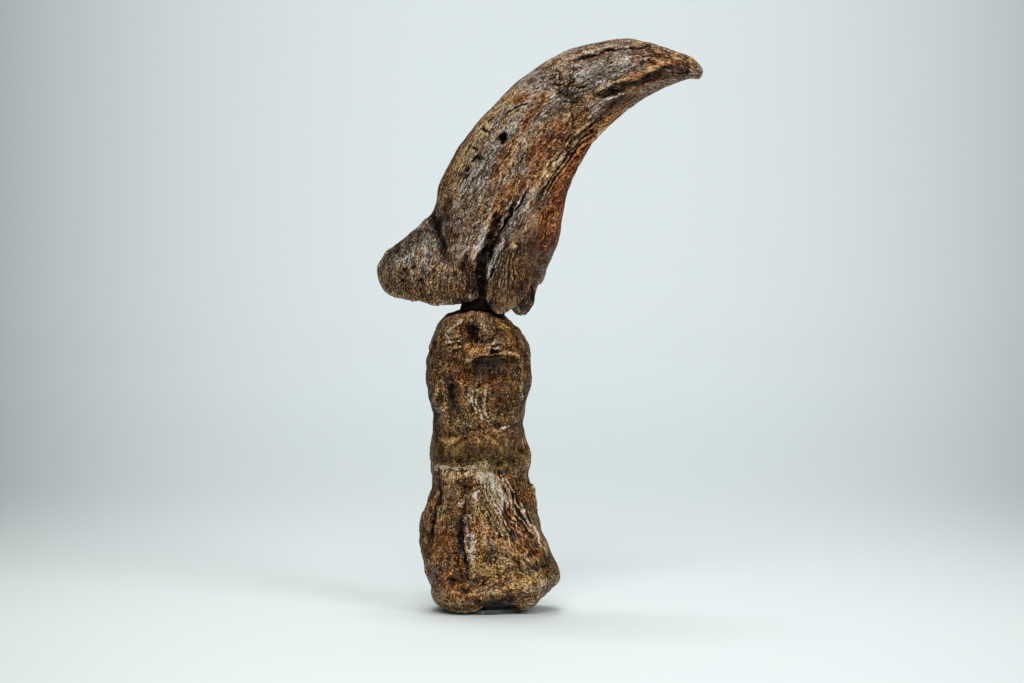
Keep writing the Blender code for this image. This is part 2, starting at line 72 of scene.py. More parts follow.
# Strokes are shapes along a path, and patches are colour or texture round one. A ROUND stroke is soft, a
# SHARP one is a crack or a crest, and a STEP is raised on the left of the path's direction and let down on
# its right.
ROUND, SHARP, STEP = "round", "sharp", "step"
SHARP_REACH, STEP_EDGE = 1.6, 0.3
NEAR, FAR, BOTH = -1, 1, 0
FLANK_BLEND = 0.9
Stroke = namedtuple("Stroke", "path spread height profile flank", defaults=(ROUND, NEAR))
Patch = namedtuple("Patch", "path spread strength flank", defaults=(1.0, NEAR))
END_FADE = 0.22
SMOOTH_PATH_POINTS, AXIS_POINTS = 20, 48
REACH = 3.0  # how many spreads from its path a stroke or a patch ends

# The claw's middle line in (x, z), which its grain follows.
CLAW_AXIS = (
    (-3.4, 43), (-3.1, 49.5), (-1.6, 56.1), (1.5, 62), (5, 69), (9, 74.7), (12.9, 78.2), (18.5, 82),
    (24, 83.9), (29.6, 83.9), (34.5, 82.4), (38, 80.6),
)

# Where the claw's strokes and patches lie, in (x, z).
TROUGH_TOP = ((6.2, 65.4), (5.2, 64.4), (3.9, 63.2))
TROUGH = ((4.4, 63.2), (3, 61), (2, 58.6), (1.2, 56.4), (0.4, 54.2), (0, 51.6), (0.4, 48))
TROUGH_LIP = ((6, 65.8), (3.5, 63.6), (2.2, 61.3), (1.2, 58.9), (0, 56.4), (-1.2, 53.6))
GREY_WALL = ((8, 66), (6.7, 63.9), (5.4, 61.1), (4, 58.4), (2.6, 55.4), (1.4, 53.2))
WALL_SLITS = (
    ((7.6, 65.2), (6.4, 63), (5.2, 61.3), (4.4, 59.4)), ((5.6, 63.4), (4.4, 61.4), (3.4, 59.4), (2.7, 57.8)),
    ((4.6, 57.4), (3.4, 55.2), (2.4, 53.4), (1.6, 51.7)),
)
PALE_LIP = ((1.5, 58.8), (0.6, 57.5), (-0.3, 55.9))
BOSS = ((5.4, 56.6), (5.6, 56.6))
RIDGE = ((18.2, 76.6), (15.9, 74.7), (13.7, 72.7), (11.7, 70.2), (9.8, 67.5), (8.5, 65))
RIDGE_SHIFTS = ((0, 0), (0.45, -0.5), (0.9, -1), (1.35, -1.5))
STRIP_GROOVE = ((18, 74.9), (16.1, 73.3), (13.8, 70.8), (12.2, 68.3), (10.7, 65.5), (9.9, 63.6))
RED_STRIP = ((17, 72.6), (14.6, 69.2), (12.8, 66.4), (11.4, 62.6), (10.4, 59), (10.2, 56.6))
FLANGE = ((4.4, 56.4), (3.9, 53), (3.3, 49.6))
STRAND_SHIFTS = (-0.5, 0.1, 0.6, 1.2, 1.8)
SLOT = ((17.8, 79.6), (18.8, 79.4), (19.8, 79.7), (20.8, 80), (21.8, 80.5))
SLOT_LENS = ((19.1, 78.9), (20, 78.9), (21.1, 79.4), (21.9, 80))
PLATE_RIM = ((17.4, 79.8), (18.8, 80.4), (20.4, 81.1), (22, 81.6), (23.4, 82))
ORANGE_RIDGE = ((22.2, 81.7), (24.5, 82.4), (26.5, 83.4), (28, 84.3), (29.7, 85.1))
ARETE = ((16.6, 74), (18.9, 75.4), (21.1, 77.8), (22.7, 79.9), (24.2, 81.2))
VENTRAL_LINE = ((22.1, 80.8), (25, 81.4), (27.6, 81.8), (30.2, 82.4))
LONG_CRACK = ((14.5, 84.5), (16, 85.2), (17.6, 85.7), (19.4, 86.3), (21.6, 86.6))
LONG_CRACK_END = ((22.3, 86.4), (23.9, 86.8), (26, 87))
SMALL_CRACKS = (
    ((13.5, 83.6), (13.9, 81.8), (13.6, 80)), ((10.9, 81.2), (12.2, 81), (13.6, 80.8)),
    ((14, 77.4), (14.4, 76.4), (14.5, 75.4)), ((14.4, 80.8), (15.5, 80.6), (16.8, 80.8)),
    ((14.4, 83.9), (14.2, 82.3), (14.3, 80.8)), ((11.4, 83.4), (12.4, 82.6), (12.6, 81.6)),
    ((12.4, 79.4), (13.4, 78.6), (14.8, 78.4)), ((9, 81.8), (9.8, 80.6), (11.2, 79.8)),
)
SHORT_CRACK = ((4.3, 76.8), (5.8, 77.8), (7.5, 78.5))
RED_THREADS = (
    ((12.7, 75.2), (11, 72.4), (9.3, 69.7), (8.2, 67.5)),
    ((15.7, 76.9), (13.8, 75.2), (12.1, 73.6), (10.9, 71)), ((10.4, 73.8), (9.2, 71.8), (7.8, 69.4)),
)
RIM_LINE = ((7.5, 81.8), (3.5, 78.7), (0.8, 75.7), (-1.1, 73), (-2.4, 71), (-3.9, 68.1), (-5.4, 65))
RIM_PITS = (
    ((-0.1, 74.6), (1.2, 73.9)), ((-1.2, 71.4), (-0.5, 71.1)), ((-1.4, 69.6), (-0.5, 69.9)),
    ((-2.6, 68.2), (-2.1, 68.4)), ((0.9, 75.6), (1.9, 76.4)),
)
GOLDEN_BAND = ((-4.6, 66), (-3, 69.2), (-0.7, 72.8), (2.6, 77.2), (5.4, 79.9))
ORANGE_BAND = ((2.8, 67.5), (4.8, 71.6), (7.1, 75.2), (10.1, 78.8))
GREY_BAND = ((-2.1, 65.1), (0.9, 70.5), (5.2, 74.6))
SHEEN = ((7, 76.6), (6, 73.8), (4.2, 70.8), (1.7, 68), (0.2, 64.6))
HEEL_GROOVE = ((-9.2, 61.6), (-7.6, 59.4), (-6.4, 57), (-5.6, 54.8))
HEEL_END = ((-2, 54.1), (-1.6, 51.6), (-1, 49.4))
FORAMEN = ((2.8, 72.9), (3.5, 73.1), (4.3, 73.5))
HEEL_PITS = (
    ((-12.2, 52.6), (-11.8, 52.8)), ((-10.9, 53), (-10.6, 53.2)), ((-9.7, 51.1), (-9.4, 51.3)),
    ((-12.7, 51), (-12.4, 51.2)),
)
FAR_GROOVE = ((-0.6, 50), (1.8, 56.8), (5.8, 62.6), (10.6, 68.4), (15.8, 74.6), (22, 79.6), (30, 83.4))
FAR_CRACK = ((6, 80.5), (9.5, 82.3), (13, 83), (18.5, 84.6))
FAR_STRAND = ((6, 57), (5.4, 52), (5.3, 47.5))
PLATE = ((15.2, 83.1), (17.9, 83.4), (20, 83.4), (22.1, 84.4))
YELLOW_SPOT = ((5.8, 77.1), (6, 77))
LOW_SPOT = ((-1.7, 63.7), (-1.3, 63.9))
FAR_HOLE = ((2, 71.1), (2.3, 71.4))
FAR_BACK = ((4, 74), (9, 78))
PRONG = ((5.4, 57), (4.6, 52), (4, 47.6))


def shifted(path, across, up=0.0):
    return tuple((x + across, z + up) for x, z in path)


def strokes(*rows):
    return tuple(Stroke(*row) for row in rows)


def patches(**groups):
    return {name: tuple(Patch(*row) for row in rows) for name, rows in groups.items()}


CLAW_STROKES = strokes(
    (TROUGH, 0.5, -0.5), (TROUGH_LIP, 0.4, 0.25), (GREY_WALL, 0.6, 0.4),
    *((path, 0.22, -0.5, SHARP) for path in WALL_SLITS),
    (BOSS, 0.45, 0.45),
    *((shifted(FLANGE, across), 0.16, -0.24, SHARP) for across in STRAND_SHIFTS),
    *((shifted(RIDGE, *shift), 0.2, 0.34, SHARP) for shift in RIDGE_SHIFTS),
    *((shifted(RIDGE, x + 0.22, z - 0.25), 0.2, -0.26, SHARP) for x, z in RIDGE_SHIFTS),
    (STRIP_GROOVE, 0.34, -0.2), (SLOT, 0.24, -0.2), (SLOT_LENS, 0.22, 0.3), (PLATE_RIM, 0.35, 0.3),
    (ORANGE_RIDGE, 0.4, 0.3), (shifted(ORANGE_RIDGE, 0.5, -0.9), 0.5, -0.25),
    (VENTRAL_LINE, 0.2, -0.2, SHARP), (LONG_CRACK, 0.2, -0.25, SHARP), (LONG_CRACK, 0.6, 0.1, STEP),
    (LONG_CRACK_END, 0.2, -0.4, SHARP),
    *((path, 0.18, -0.2, SHARP) for path in SMALL_CRACKS),
    (((10.9, 80.9), (12.6, 79.8), (15.1, 79.2)), 0.5, -0.2), (FORAMEN, 0.32, -0.9),
    (((3.4, 72.4), (3.5, 73)), 0.3, -0.5),
    *((path, 0.28, -0.25) for path in RIM_PITS),
    (SHORT_CRACK, 0.22, -0.4, SHARP), (RIM_LINE, 0.28, -0.12), (HEEL_GROOVE, 0.9, -0.35),
    (((-4.5, 65.8), (-5.4, 62.7), (-5.8, 59.6)), 0.8, -0.2),
    *((path, 0.38, -0.4) for path in HEEL_PITS),
    (((26.5, 85.9), (29.1, 85.3), (31.6, 84.4)), 0.35, 0.15), (YELLOW_SPOT, 0.25, -0.2),
    (LOW_SPOT, 0.22, 0.18), (FAR_GROOVE, 0.5, -0.5, ROUND, FAR),
    (shifted(FAR_GROOVE, -0.7, 0.6), 0.35, 0.3, ROUND, FAR),
    (shifted(FAR_GROOVE, 0.7, -0.6), 0.3, 0.25, ROUND, FAR), (FAR_CRACK, 0.2, -0.4, SHARP, FAR),
    (((-4, 66), (-1, 71.5), (1.5, 75)), 0.22, -0.3, SHARP, FAR), (FAR_HOLE, 0.42, -1, ROUND, FAR),
    (((8, 77.5), (8.3, 77.7)), 0.35, -0.5, ROUND, FAR),
    *((shifted(FAR_STRAND, across), 0.2, -0.28, SHARP, FAR) for across in (-1, 0, 1)),
    (((-10.5, 52), (-10, 52.2)), 0.45, -0.4, ROUND, FAR),
    (((-13, 53.6), (-12.6, 53.8)), 0.4, -0.35, ROUND, FAR),
)

CLAW_PATCHES = patches(
    # Light patches: a painted sheen and highlight along SHEEN, on the plate and along the orange ridge;
    # elsewhere the bone's own lighter colour.
    light=(
        (SHEEN, 1.9, 0.3), (GOLDEN_BAND, 0.6, 0.5, BOTH), (PLATE, 1.4, 0.4),
        (((24.6, 85.9), (28.1, 86), (30.7, 85.2)), 0.8, 0.3, BOTH), (ORANGE_RIDGE, 0.5, 1.2),
        (ARETE, 0.6, 0.6), (BOSS, 0.3, 0.8),
        *((shifted(RIDGE, *shift), 0.16, 0.7) for shift in RIDGE_SHIFTS),
        *((shifted(FLANGE, across + 0.28), 0.14, 0.5) for across in STRAND_SHIFTS),
        (FAR_BACK, 2.4, 0.6, FAR),
    ),
    # Shade patches: painted shade where the surface turns away or lies under an overhang: along the
    # rim's edge, on the heel's underside, the ventral face, the facet, flange and prong, and in the
    # trough. Elsewhere, as on the red strip, they give the bone's own darker colour.
    shade=(
        (((11, 66), (10.6, 60)), 2, 0.6, BOTH), (((9.6, 58), (8.6, 54), (7.4, 48.6)), 2.2, 1.2, BOTH),
        (PRONG, 2, 1.9), (((32.2, 84.2), (33.4, 83), (34.2, 81.6)), 0.9, 1.2, BOTH), (RED_STRIP, 1.4, 1.1),
        (((12.6, 70.4), (18.6, 76.6), (24, 80.4)), 1.8, 0.9), (((18, 83.8), (22, 84.8)), 2.2, 0.5),
        (((-15.6, 51.6), (-8, 50.4), (-3, 50)), 2.6, 1.3, BOTH), (TROUGH, 1, 1.7), (TROUGH_TOP, 1.6, 0.6),
        (((-8, 62), (-5, 59)), 2.6, 0.6, BOTH), (((26, 85.4), (32, 84.4)), 1.6, 1.3, BOTH),
        (((15, 86.6), (21.5, 87.6), (27, 86.8)), 1.1, 0.65, BOTH), (((5.6, 62.5), (7, 58.5)), 1.2, 0.9),
        (((-7.6, 65.6), (-5.4, 69.8), (-2.6, 74), (1, 78.6), (4.4, 82)), 1, 1.7, BOTH),
        (((-5.5, 61), (-9, 58.4), (-13.4, 56), (-15.6, 53.6)), 1.6, 1.2, BOTH),
        (((11, 82.4), (13.2, 81.2), (15, 78.4)), 1.6, 0.7), (((0.4, 62.6), (-1, 57), (-2.2, 52)), 1.2, 0.5),
        (((20, 76.8), (25, 81), (31, 82.4)), 1.2, 1.2, BOTH),
    ),
    rust=(
        (RED_STRIP, 1.3, 1.6),
        *((path, 0.5, 1.1) for path in RED_THREADS),
        (((3, 78.9), (4.5, 78.7), (6.9, 79.2)), 0.5, 0.9), (((-4.5, 59), (-4.1, 57.6)), 0.5, 0.8),
        (((-5.2, 64), (-4.8, 60)), 0.8, 0.5, BOTH), (((6.6, 56), (6.3, 53.6), (6, 51.7)), 0.4, 0.8),
        (((12, 66), (11, 60)), 1.6, 0.9, FAR), (FAR_BACK, 1.4, 0.6, FAR),
    ),
    amber=(
        (ORANGE_RIDGE, 0.9, 1.2), (ARETE, 0.9, 1.1), (((24, 80.6), (28.4, 82.2), (31, 82.6)), 1, 0.4, BOTH),
        (((24.6, 85.8), (28, 85.2), (32, 84.6)), 1.4, 1, BOTH), (ORANGE_BAND, 0.9, 0.9),
        (TROUGH_TOP, 1.5, 1.8), (TROUGH[:3], 1, 1.4),
        (((-7, 64.8), (-5, 69.4), (-2.2, 73.6), (1.4, 78.2), (4.8, 81.6)), 0.9, 0.8, BOTH),
        (((8.6, 66.4), (11.8, 71.4), (15.4, 75.6)), 1.6, 0.8), (shifted(LONG_CRACK, 0.1, -0.35), 0.2, 0.8),
    ),
    ochre=(
        (((-16.2, 51.2), (-12.5, 49.4), (-7.5, 49.2), (-3.5, 49.6)), 1.5, 0.9, BOTH),
        (GOLDEN_BAND, 0.8, 0.7, BOTH), (((-6, 52.6), (-3, 52.8)), 1.2, 0.5), (YELLOW_SPOT, 0.3, 1.5),
        (LOW_SPOT, 0.26, 1.2), (((17, 75.4), (13.6, 71.8), (10.2, 67)), 1, 0.55), (TROUGH_LIP, 0.35, 0.4),
        (((6.4, 57), (6, 53), (5, 48.6)), 1.9, 0.8), (((27, 86.4), (30.6, 85.4), (32.8, 84)), 0.8, 0.6, BOTH),
        (((19, 76.6), (22.4, 79.4), (26.2, 81.4)), 0.7, 0.35, BOTH),
    ),
    # Grey patches: the bone's own grey, and along GREY_BAND on the flank partly a painted sheen.
    grey=(
        (PLATE, 1.7, 1.1), (((22.6, 85.4), (25.5, 85.4)), 0.8, 0.5),
        (shifted(GREY_WALL[1:], 0.3, -0.4), 0.9, 1.4), (GREY_BAND, 1.3, 1),
        (((-5.5, 60), (-11.3, 56.3), (-14.4, 53.9)), 1.5, 1.7, BOTH),
        (((8, 81.6), (11, 81.6), (12.6, 79.4)), 1.5, 0.8), (HEEL_GROOVE, 1.3, 0.9),
        (((-13, 56), (-10.5, 53.8)), 1.1, 0.4), (((2, 66), (6, 72), (14, 80)), 1.8, 0.8, FAR),
    ),
    pale=(
        (PALE_LIP, 0.7, 0.8), (SLOT_LENS, 0.2, 0.7),
        *((shifted(path, -0.35, 0.1), 0.2, 0.7) for path in WALL_SLITS),
        (((18.2, 81.6), (19.6, 81.2)), 0.4, 0.4),
    ),
    # Dark patches: painted shade in the cracks, slits, pits, foramen, trough and crevices, under the
    # plate's ledge and at the heel's end, together with a darker colour of the bone's own.
    dark=(
        (TROUGH[1:], 0.75, 0.9), (((9.6, 57), (8.4, 53), (7.2, 48.6)), 1.6, 0.5),
        (((5, 56), (4.4, 52), (3.8, 47.6)), 2.4, 0.5), (((-15, 50.6), (-8, 49), (-3, 49)), 1.6, 0.35, BOTH),
        (((-5.5, 61), (-11.6, 57.6), (-15.4, 54.6)), 1.1, 0.5, BOTH),
        (((-8, 65), (-5.8, 69.6), (-3, 74), (0.8, 78.8)), 0.7, 0.5, BOTH),
        (((32.6, 84), (34, 82.4)), 0.8, 0.5, BOTH), (((0.6, 51.6), (0.4, 47)), 0.9, 1), (HEEL_END, 1, 1.2),
        (((-3.4, 47.8), (-0.6, 47.8), (1.6, 47.4)), 0.7, 1.2, BOTH),
        (((6.2, 48.6), (5, 46.8), (6.6, 45.4)), 0.8, 0.9, FAR), (HEEL_GROOVE, 1.2, 0.7, BOTH),
        (((-6.7, 65.1), (-4.7, 66.2), (-3.2, 67.4)), 0.9, 0.6),
        (((-6.2, 65.5), (-5.4, 61.4), (-4.8, 57.6)), 1.5, 0.4),
        (((20, 77.9), (25, 81.5), (31, 83.4)), 1.4, 0.6, BOTH), (((6.4, 50.4), (6.8, 46.8)), 1.6, 0.6),
        (SLOT, 0.26, 0.8), (((20.4, 80.6), (21.6, 81.3), (23, 81.5)), 0.3, 0.5),
        *((path, 0.2, 1) for path in WALL_SLITS),
        (STRIP_GROOVE, 0.3, 0.5), (FORAMEN, 0.36, 1.4), (((3.4, 72.3), (3.5, 73)), 0.3, 1.2),
        *((path, 0.26, 0.9) for path in RIM_PITS),
        *((path, 0.16, 0.6) for path in SMALL_CRACKS),
        (((10.9, 80.7), (13.3, 79.7), (15.4, 79)), 0.8, 0.4), (((25.1, 84.5), (25.3, 84.5)), 0.3, 1.2),
        (LONG_CRACK, 0.17, 1.5), (LONG_CRACK_END, 0.17, 1.5), (SHORT_CRACK, 0.18, 1.1), (BOSS, 0.6, 0.5),
        (FAR_GROOVE, 0.6, 0.8, FAR), (FAR_CRACK, 0.2, 0.9, FAR), (FAR_HOLE, 0.5, 1.2, FAR),
    ),
)

# Where the claw's surface is granular, fibrous or smooth.
CLAW_REGIONS = patches(
    granular=(
        (((-15.6, 51.6), (-9, 50.4), (-3, 51.4)), 2.4, 1, BOTH),
        (((-3.5, 61), (0.6, 62), (-1, 56)), 2.6, 0.8, BOTH), (RED_STRIP, 1.2, 0.9),
        (((11, 80.8), (13.6, 79.4)), 1.8, 0.8, BOTH),
    ),
    fibrous=(
        (((5.6, 57), (5, 53), (4.2, 48)), 1.6, 1, BOTH), (GREY_WALL, 1, 1),
        (((18.6, 76.4), (13.4, 71.6), (10, 66)), 1.3, 1),
        *((path, 1.2, 0.8) for path in RED_THREADS),
        (((-14, 56.6), (-10, 55.2)), 1.8, 0.8, BOTH), (((1, 76), (7, 80.6)), 2.2, 0.7, BOTH),
        (((25, 85.6), (30, 84.8)), 1.4, 1, BOTH),
    ),
    smooth=(
        (((8.6, 60.5), (8.3, 55), (7.4, 50)), 1.2, 0.9, BOTH), (PRONG, 1.8, 0.6),
        (((20, 77.8), (24, 80.4), (28.6, 82.2)), 1.4, 0.8, BOTH), (((16.4, 83.2), (21.4, 84.2)), 1.2, 0.4),
    ),
)

# The toe bone's front is turned from -Y towards +X, about its axis. Its paths are laid out at a usual radius.
TOE_BONE_TURN = 15.0
TOE_BONE_AXIS_X = -1.2
TOE_BONE_RADIUS = 8.0

# Where the toe bone's strokes and patches lie, in (degrees from its front towards +X, height).
ARC = ((-20, 37.9), (-14, 39.1), (-2, 40.1), (15, 40.4), (36, 40.3), (57, 39.3))
ARC_HOLLOW = ((-8, 38.2), (9, 38.6), (26, 38.6), (41, 38.4))
NOTCH = ((-20, 44.3), (-12, 44.2), (-5, 43.4), (-12, 42.2))
KNUCKLE_LINES = (
    ((-45, 42.6), (-34, 42.8), (-23, 43.1)), ((-42, 41.6), (-32, 42.1), (-22, 42.5)),
    ((-37, 40.5), (-29, 41.1), (-22, 41.4)), ((10, 41.9), (20, 42.1), (30, 41.9)),
    ((12, 41.4), (19, 41.2), (25, 41.4)),
)
LEFT_RIDGE = ((-46, 36.6), (-48, 33.8), (-47, 30.6))
LEFT_ORANGE = ((-27, 37), (-24, 34.8), (-22, 32.4))
LEFT_DARK = ((-33, 36.4), (-37, 34.4), (-36, 32.2))
DRIPS = (
    ((-10, 34.8), (-11, 33), (-3, 31.1)), ((-2, 34.8), (-5, 33), (3, 31.2), (6, 30)),
    ((9, 34.6), (8, 32.2), (13, 30.4)),
)
PALE_TICK = ((29, 28.2), (39, 28.6), (49, 28.9))
WAIST_TOP = ((-71, 29.3), (-43, 29.2), (-22, 28.9), (7, 28.9), (27, 28), (50, 29.1), (82, 29.1))
SWIRLS = (
    ((-46, 25.6), (-35, 27.2), (-13, 28), (13, 28.1)), ((-39, 24.9), (-25, 26.5), (-3, 26.9), (10, 26.2)),
    ((8, 27.8), (22, 26.8), (32, 25.2)), ((-58, 26.8), (-48, 26.2), (-36, 26.7)),
)
PALE_LINE = ((-65, 22.3), (-36, 22.5), (-9, 22.7), (19, 22.5))
CREAM = ((-52, 21.4), (-37, 21.4), (-10, 21.9), (2, 21.4))
WHITE = ((6, 21.9), (19, 21), (25, 19.7), (28, 18.2))
FANS = (
    ((9, 19), (20, 16.4), (34, 13)), ((14, 19.4), (24, 16.9), (40, 13.2), (46, 11.6)),
    ((20, 19.6), (30, 16.9), (45, 13), (52, 11)), ((27, 19), (33, 17), (48, 13.2), (56, 10.8)),
    ((31, 20.2), (38, 17.1), (51, 13.2), (59, 10.4)), ((36, 21), (45, 17.1), (56, 12.9), (62, 10.1)),
    ((4, 17.6), (14, 14.8), (27, 11.8)), ((42, 20.8), (50, 17.6), (60, 13.4)),
)
LEFT_WHITES = (
    ((-29, 16.8), (-23, 17.9)), ((-24, 14.7), (-13, 15.4), (-8, 14.6)),
    ((-19, 13.8), (-15, 12.8), (-7, 12.6)), ((-8, 12), (-5, 11), (-9, 9.3), (-11, 8)), ((-1, 18.9), (-7, 18)),
)
FRONT_GROOVE = ((-30, 13.4), (-24, 10.8), (-16, 8.1), (-13, 6.6))
LEFT_GROOVE = ((-59, 20.6), (-54, 17.1), (-55, 14.1), (-57, 10.6))
EDGE_RIDGE = ((57, 17.4), (55, 15.4), (58, 13.4), (63, 11.4), (68, 9.2))
SPARKLE = ((8, 13.2), (21, 11.7), (38, 10.6), (50, 8.9))
OLIVE_BASE = ((-6, 7.2), (13, 6.8), (31, 6), (46, 5.4))
WAIST_ROUND = ((-120, 25.4), (-60, 26), (0, 25.6), (60, 26), (120, 25.4))
BACK_GROOVE = ((0, 20.2), (4, 14), (6, 8))
WAIST_BACK = ((120, 25.6), (180, 25.8), (240, 25.6))
HEAD_RIM = ((24, 44.4), (40, 44.3), (52, 44))
FRONT_HOLLOW = ((-30, 20.2), (-14, 19.8))
FOOT_HOLLOW = ((44, 7.4), (58, 7.6), (72, 8))
HEAD_LEFT = ((-40, 43.5), (-32, 44.4), (-22, 45.2))
HEAD_MIDDLE = ((-15, 41.2), (-5, 41), (3, 40.7))
DRIP_AREA = ((-12, 34), (6, 31))
UPPER_BACK = ((130, 36), (170, 33), (220, 36))
WAIST_RIGHT = ((30, 30.8), (41, 31.3), (50, 30.4))

TOE_BONE_STROKES = strokes(
    (ARC, 0.4, 0.34), (ARC_HOLLOW, 0.8, -0.25), (NOTCH, 0.7, -0.3),
    *((path, 0.2, 0.16) for path in KNUCKLE_LINES),
    *((shifted(path, 0, -0.4), 0.2, -0.2) for path in KNUCKLE_LINES),
    (((-3, 43.6), (0, 43.3)), 0.3, 0.4), (HEAD_RIM, 0.4, 0.25),
    (((48, 39.2), (55, 35.8), (61, 32.3)), 0.5, 0.35), (((-64, 41.2), (-62, 40.8)), 0.5, 0.6),
    (((-56, 38.6), (-53, 35.1), (-60, 31.6)), 0.4, 0.3), (LEFT_RIDGE, 0.35, 0.14), (LEFT_ORANGE, 0.4, 0.12),
    *((path, 0.26, 0.14) for path in DRIPS),
    *((shifted(path, 5), 0.3, -0.14) for path in DRIPS),
    (WAIST_TOP, 0.5, 0.1, STEP), (PALE_LINE, 0.7, 0.1, STEP),
    *((path, 0.3, 0.1) for path in SWIRLS),
    (PALE_TICK, 0.2, 0.2), (((81, 28.6), (74, 25.6)), 0.4, -0.4), (FRONT_HOLLOW, 0.9, -0.3),
    (WHITE, 0.8, 0.25), (FRONT_GROOVE, 0.5, -0.5), (shifted(FRONT_GROOVE, 8), 0.4, 0.3),
    *((path, 0.3, 0.2) for path in LEFT_WHITES),
    *((path, 0.14, 0.14) for path in FANS),
    *((shifted(path, 3), 0.14, -0.18, SHARP) for path in FANS),
    (EDGE_RIDGE, 0.25, 0.35), (((80, 19.6), (74, 18.2)), 0.5, 0.5), (LEFT_GROOVE, 0.45, -0.35),
    (shifted(LEFT_GROOVE, 8), 0.4, 0.2), (((4, 16), (6, 12.7), (11, 9.4)), 0.6, 0.3),
    (((-72, 4.4), (-31, 3.6), (3, 4), (29, 4.4), (48, 4.8), (80, 6)), 0.8, 0.2),
    (((-35, 5.6), (-33, 5.2)), 0.5, -0.4), (((-20, 4.3), (-17, 4)), 0.45, -0.4), (FOOT_HOLLOW, 0.6, -0.2),
    (((110, 40), (150, 41.2), (180, 40.6), (215, 41), (250, 39.8)), 0.4, 0.35),
    (((120, 22.6), (180, 22.4), (240, 22.8)), 0.35, -0.3),
    (((125, 29.2), (180, 29.6), (235, 29)), 0.4, -0.35),
    *((shifted(BACK_GROOVE, angle), 0.3, -0.5, SHARP) for angle in (100, 128, 151, 177, 205, 237)),
    (((140, 35.4), (143, 34.8)), 0.45, -0.5), (((205, 33.6), (208, 33)), 0.45, -0.5),
    (((226, 38.4), (224, 34), (230, 31)), 0.4, 0.35),
    (((150, 5.4), (180, 4.8), (210, 5.2), (240, 6)), 0.6, 0.4),
)

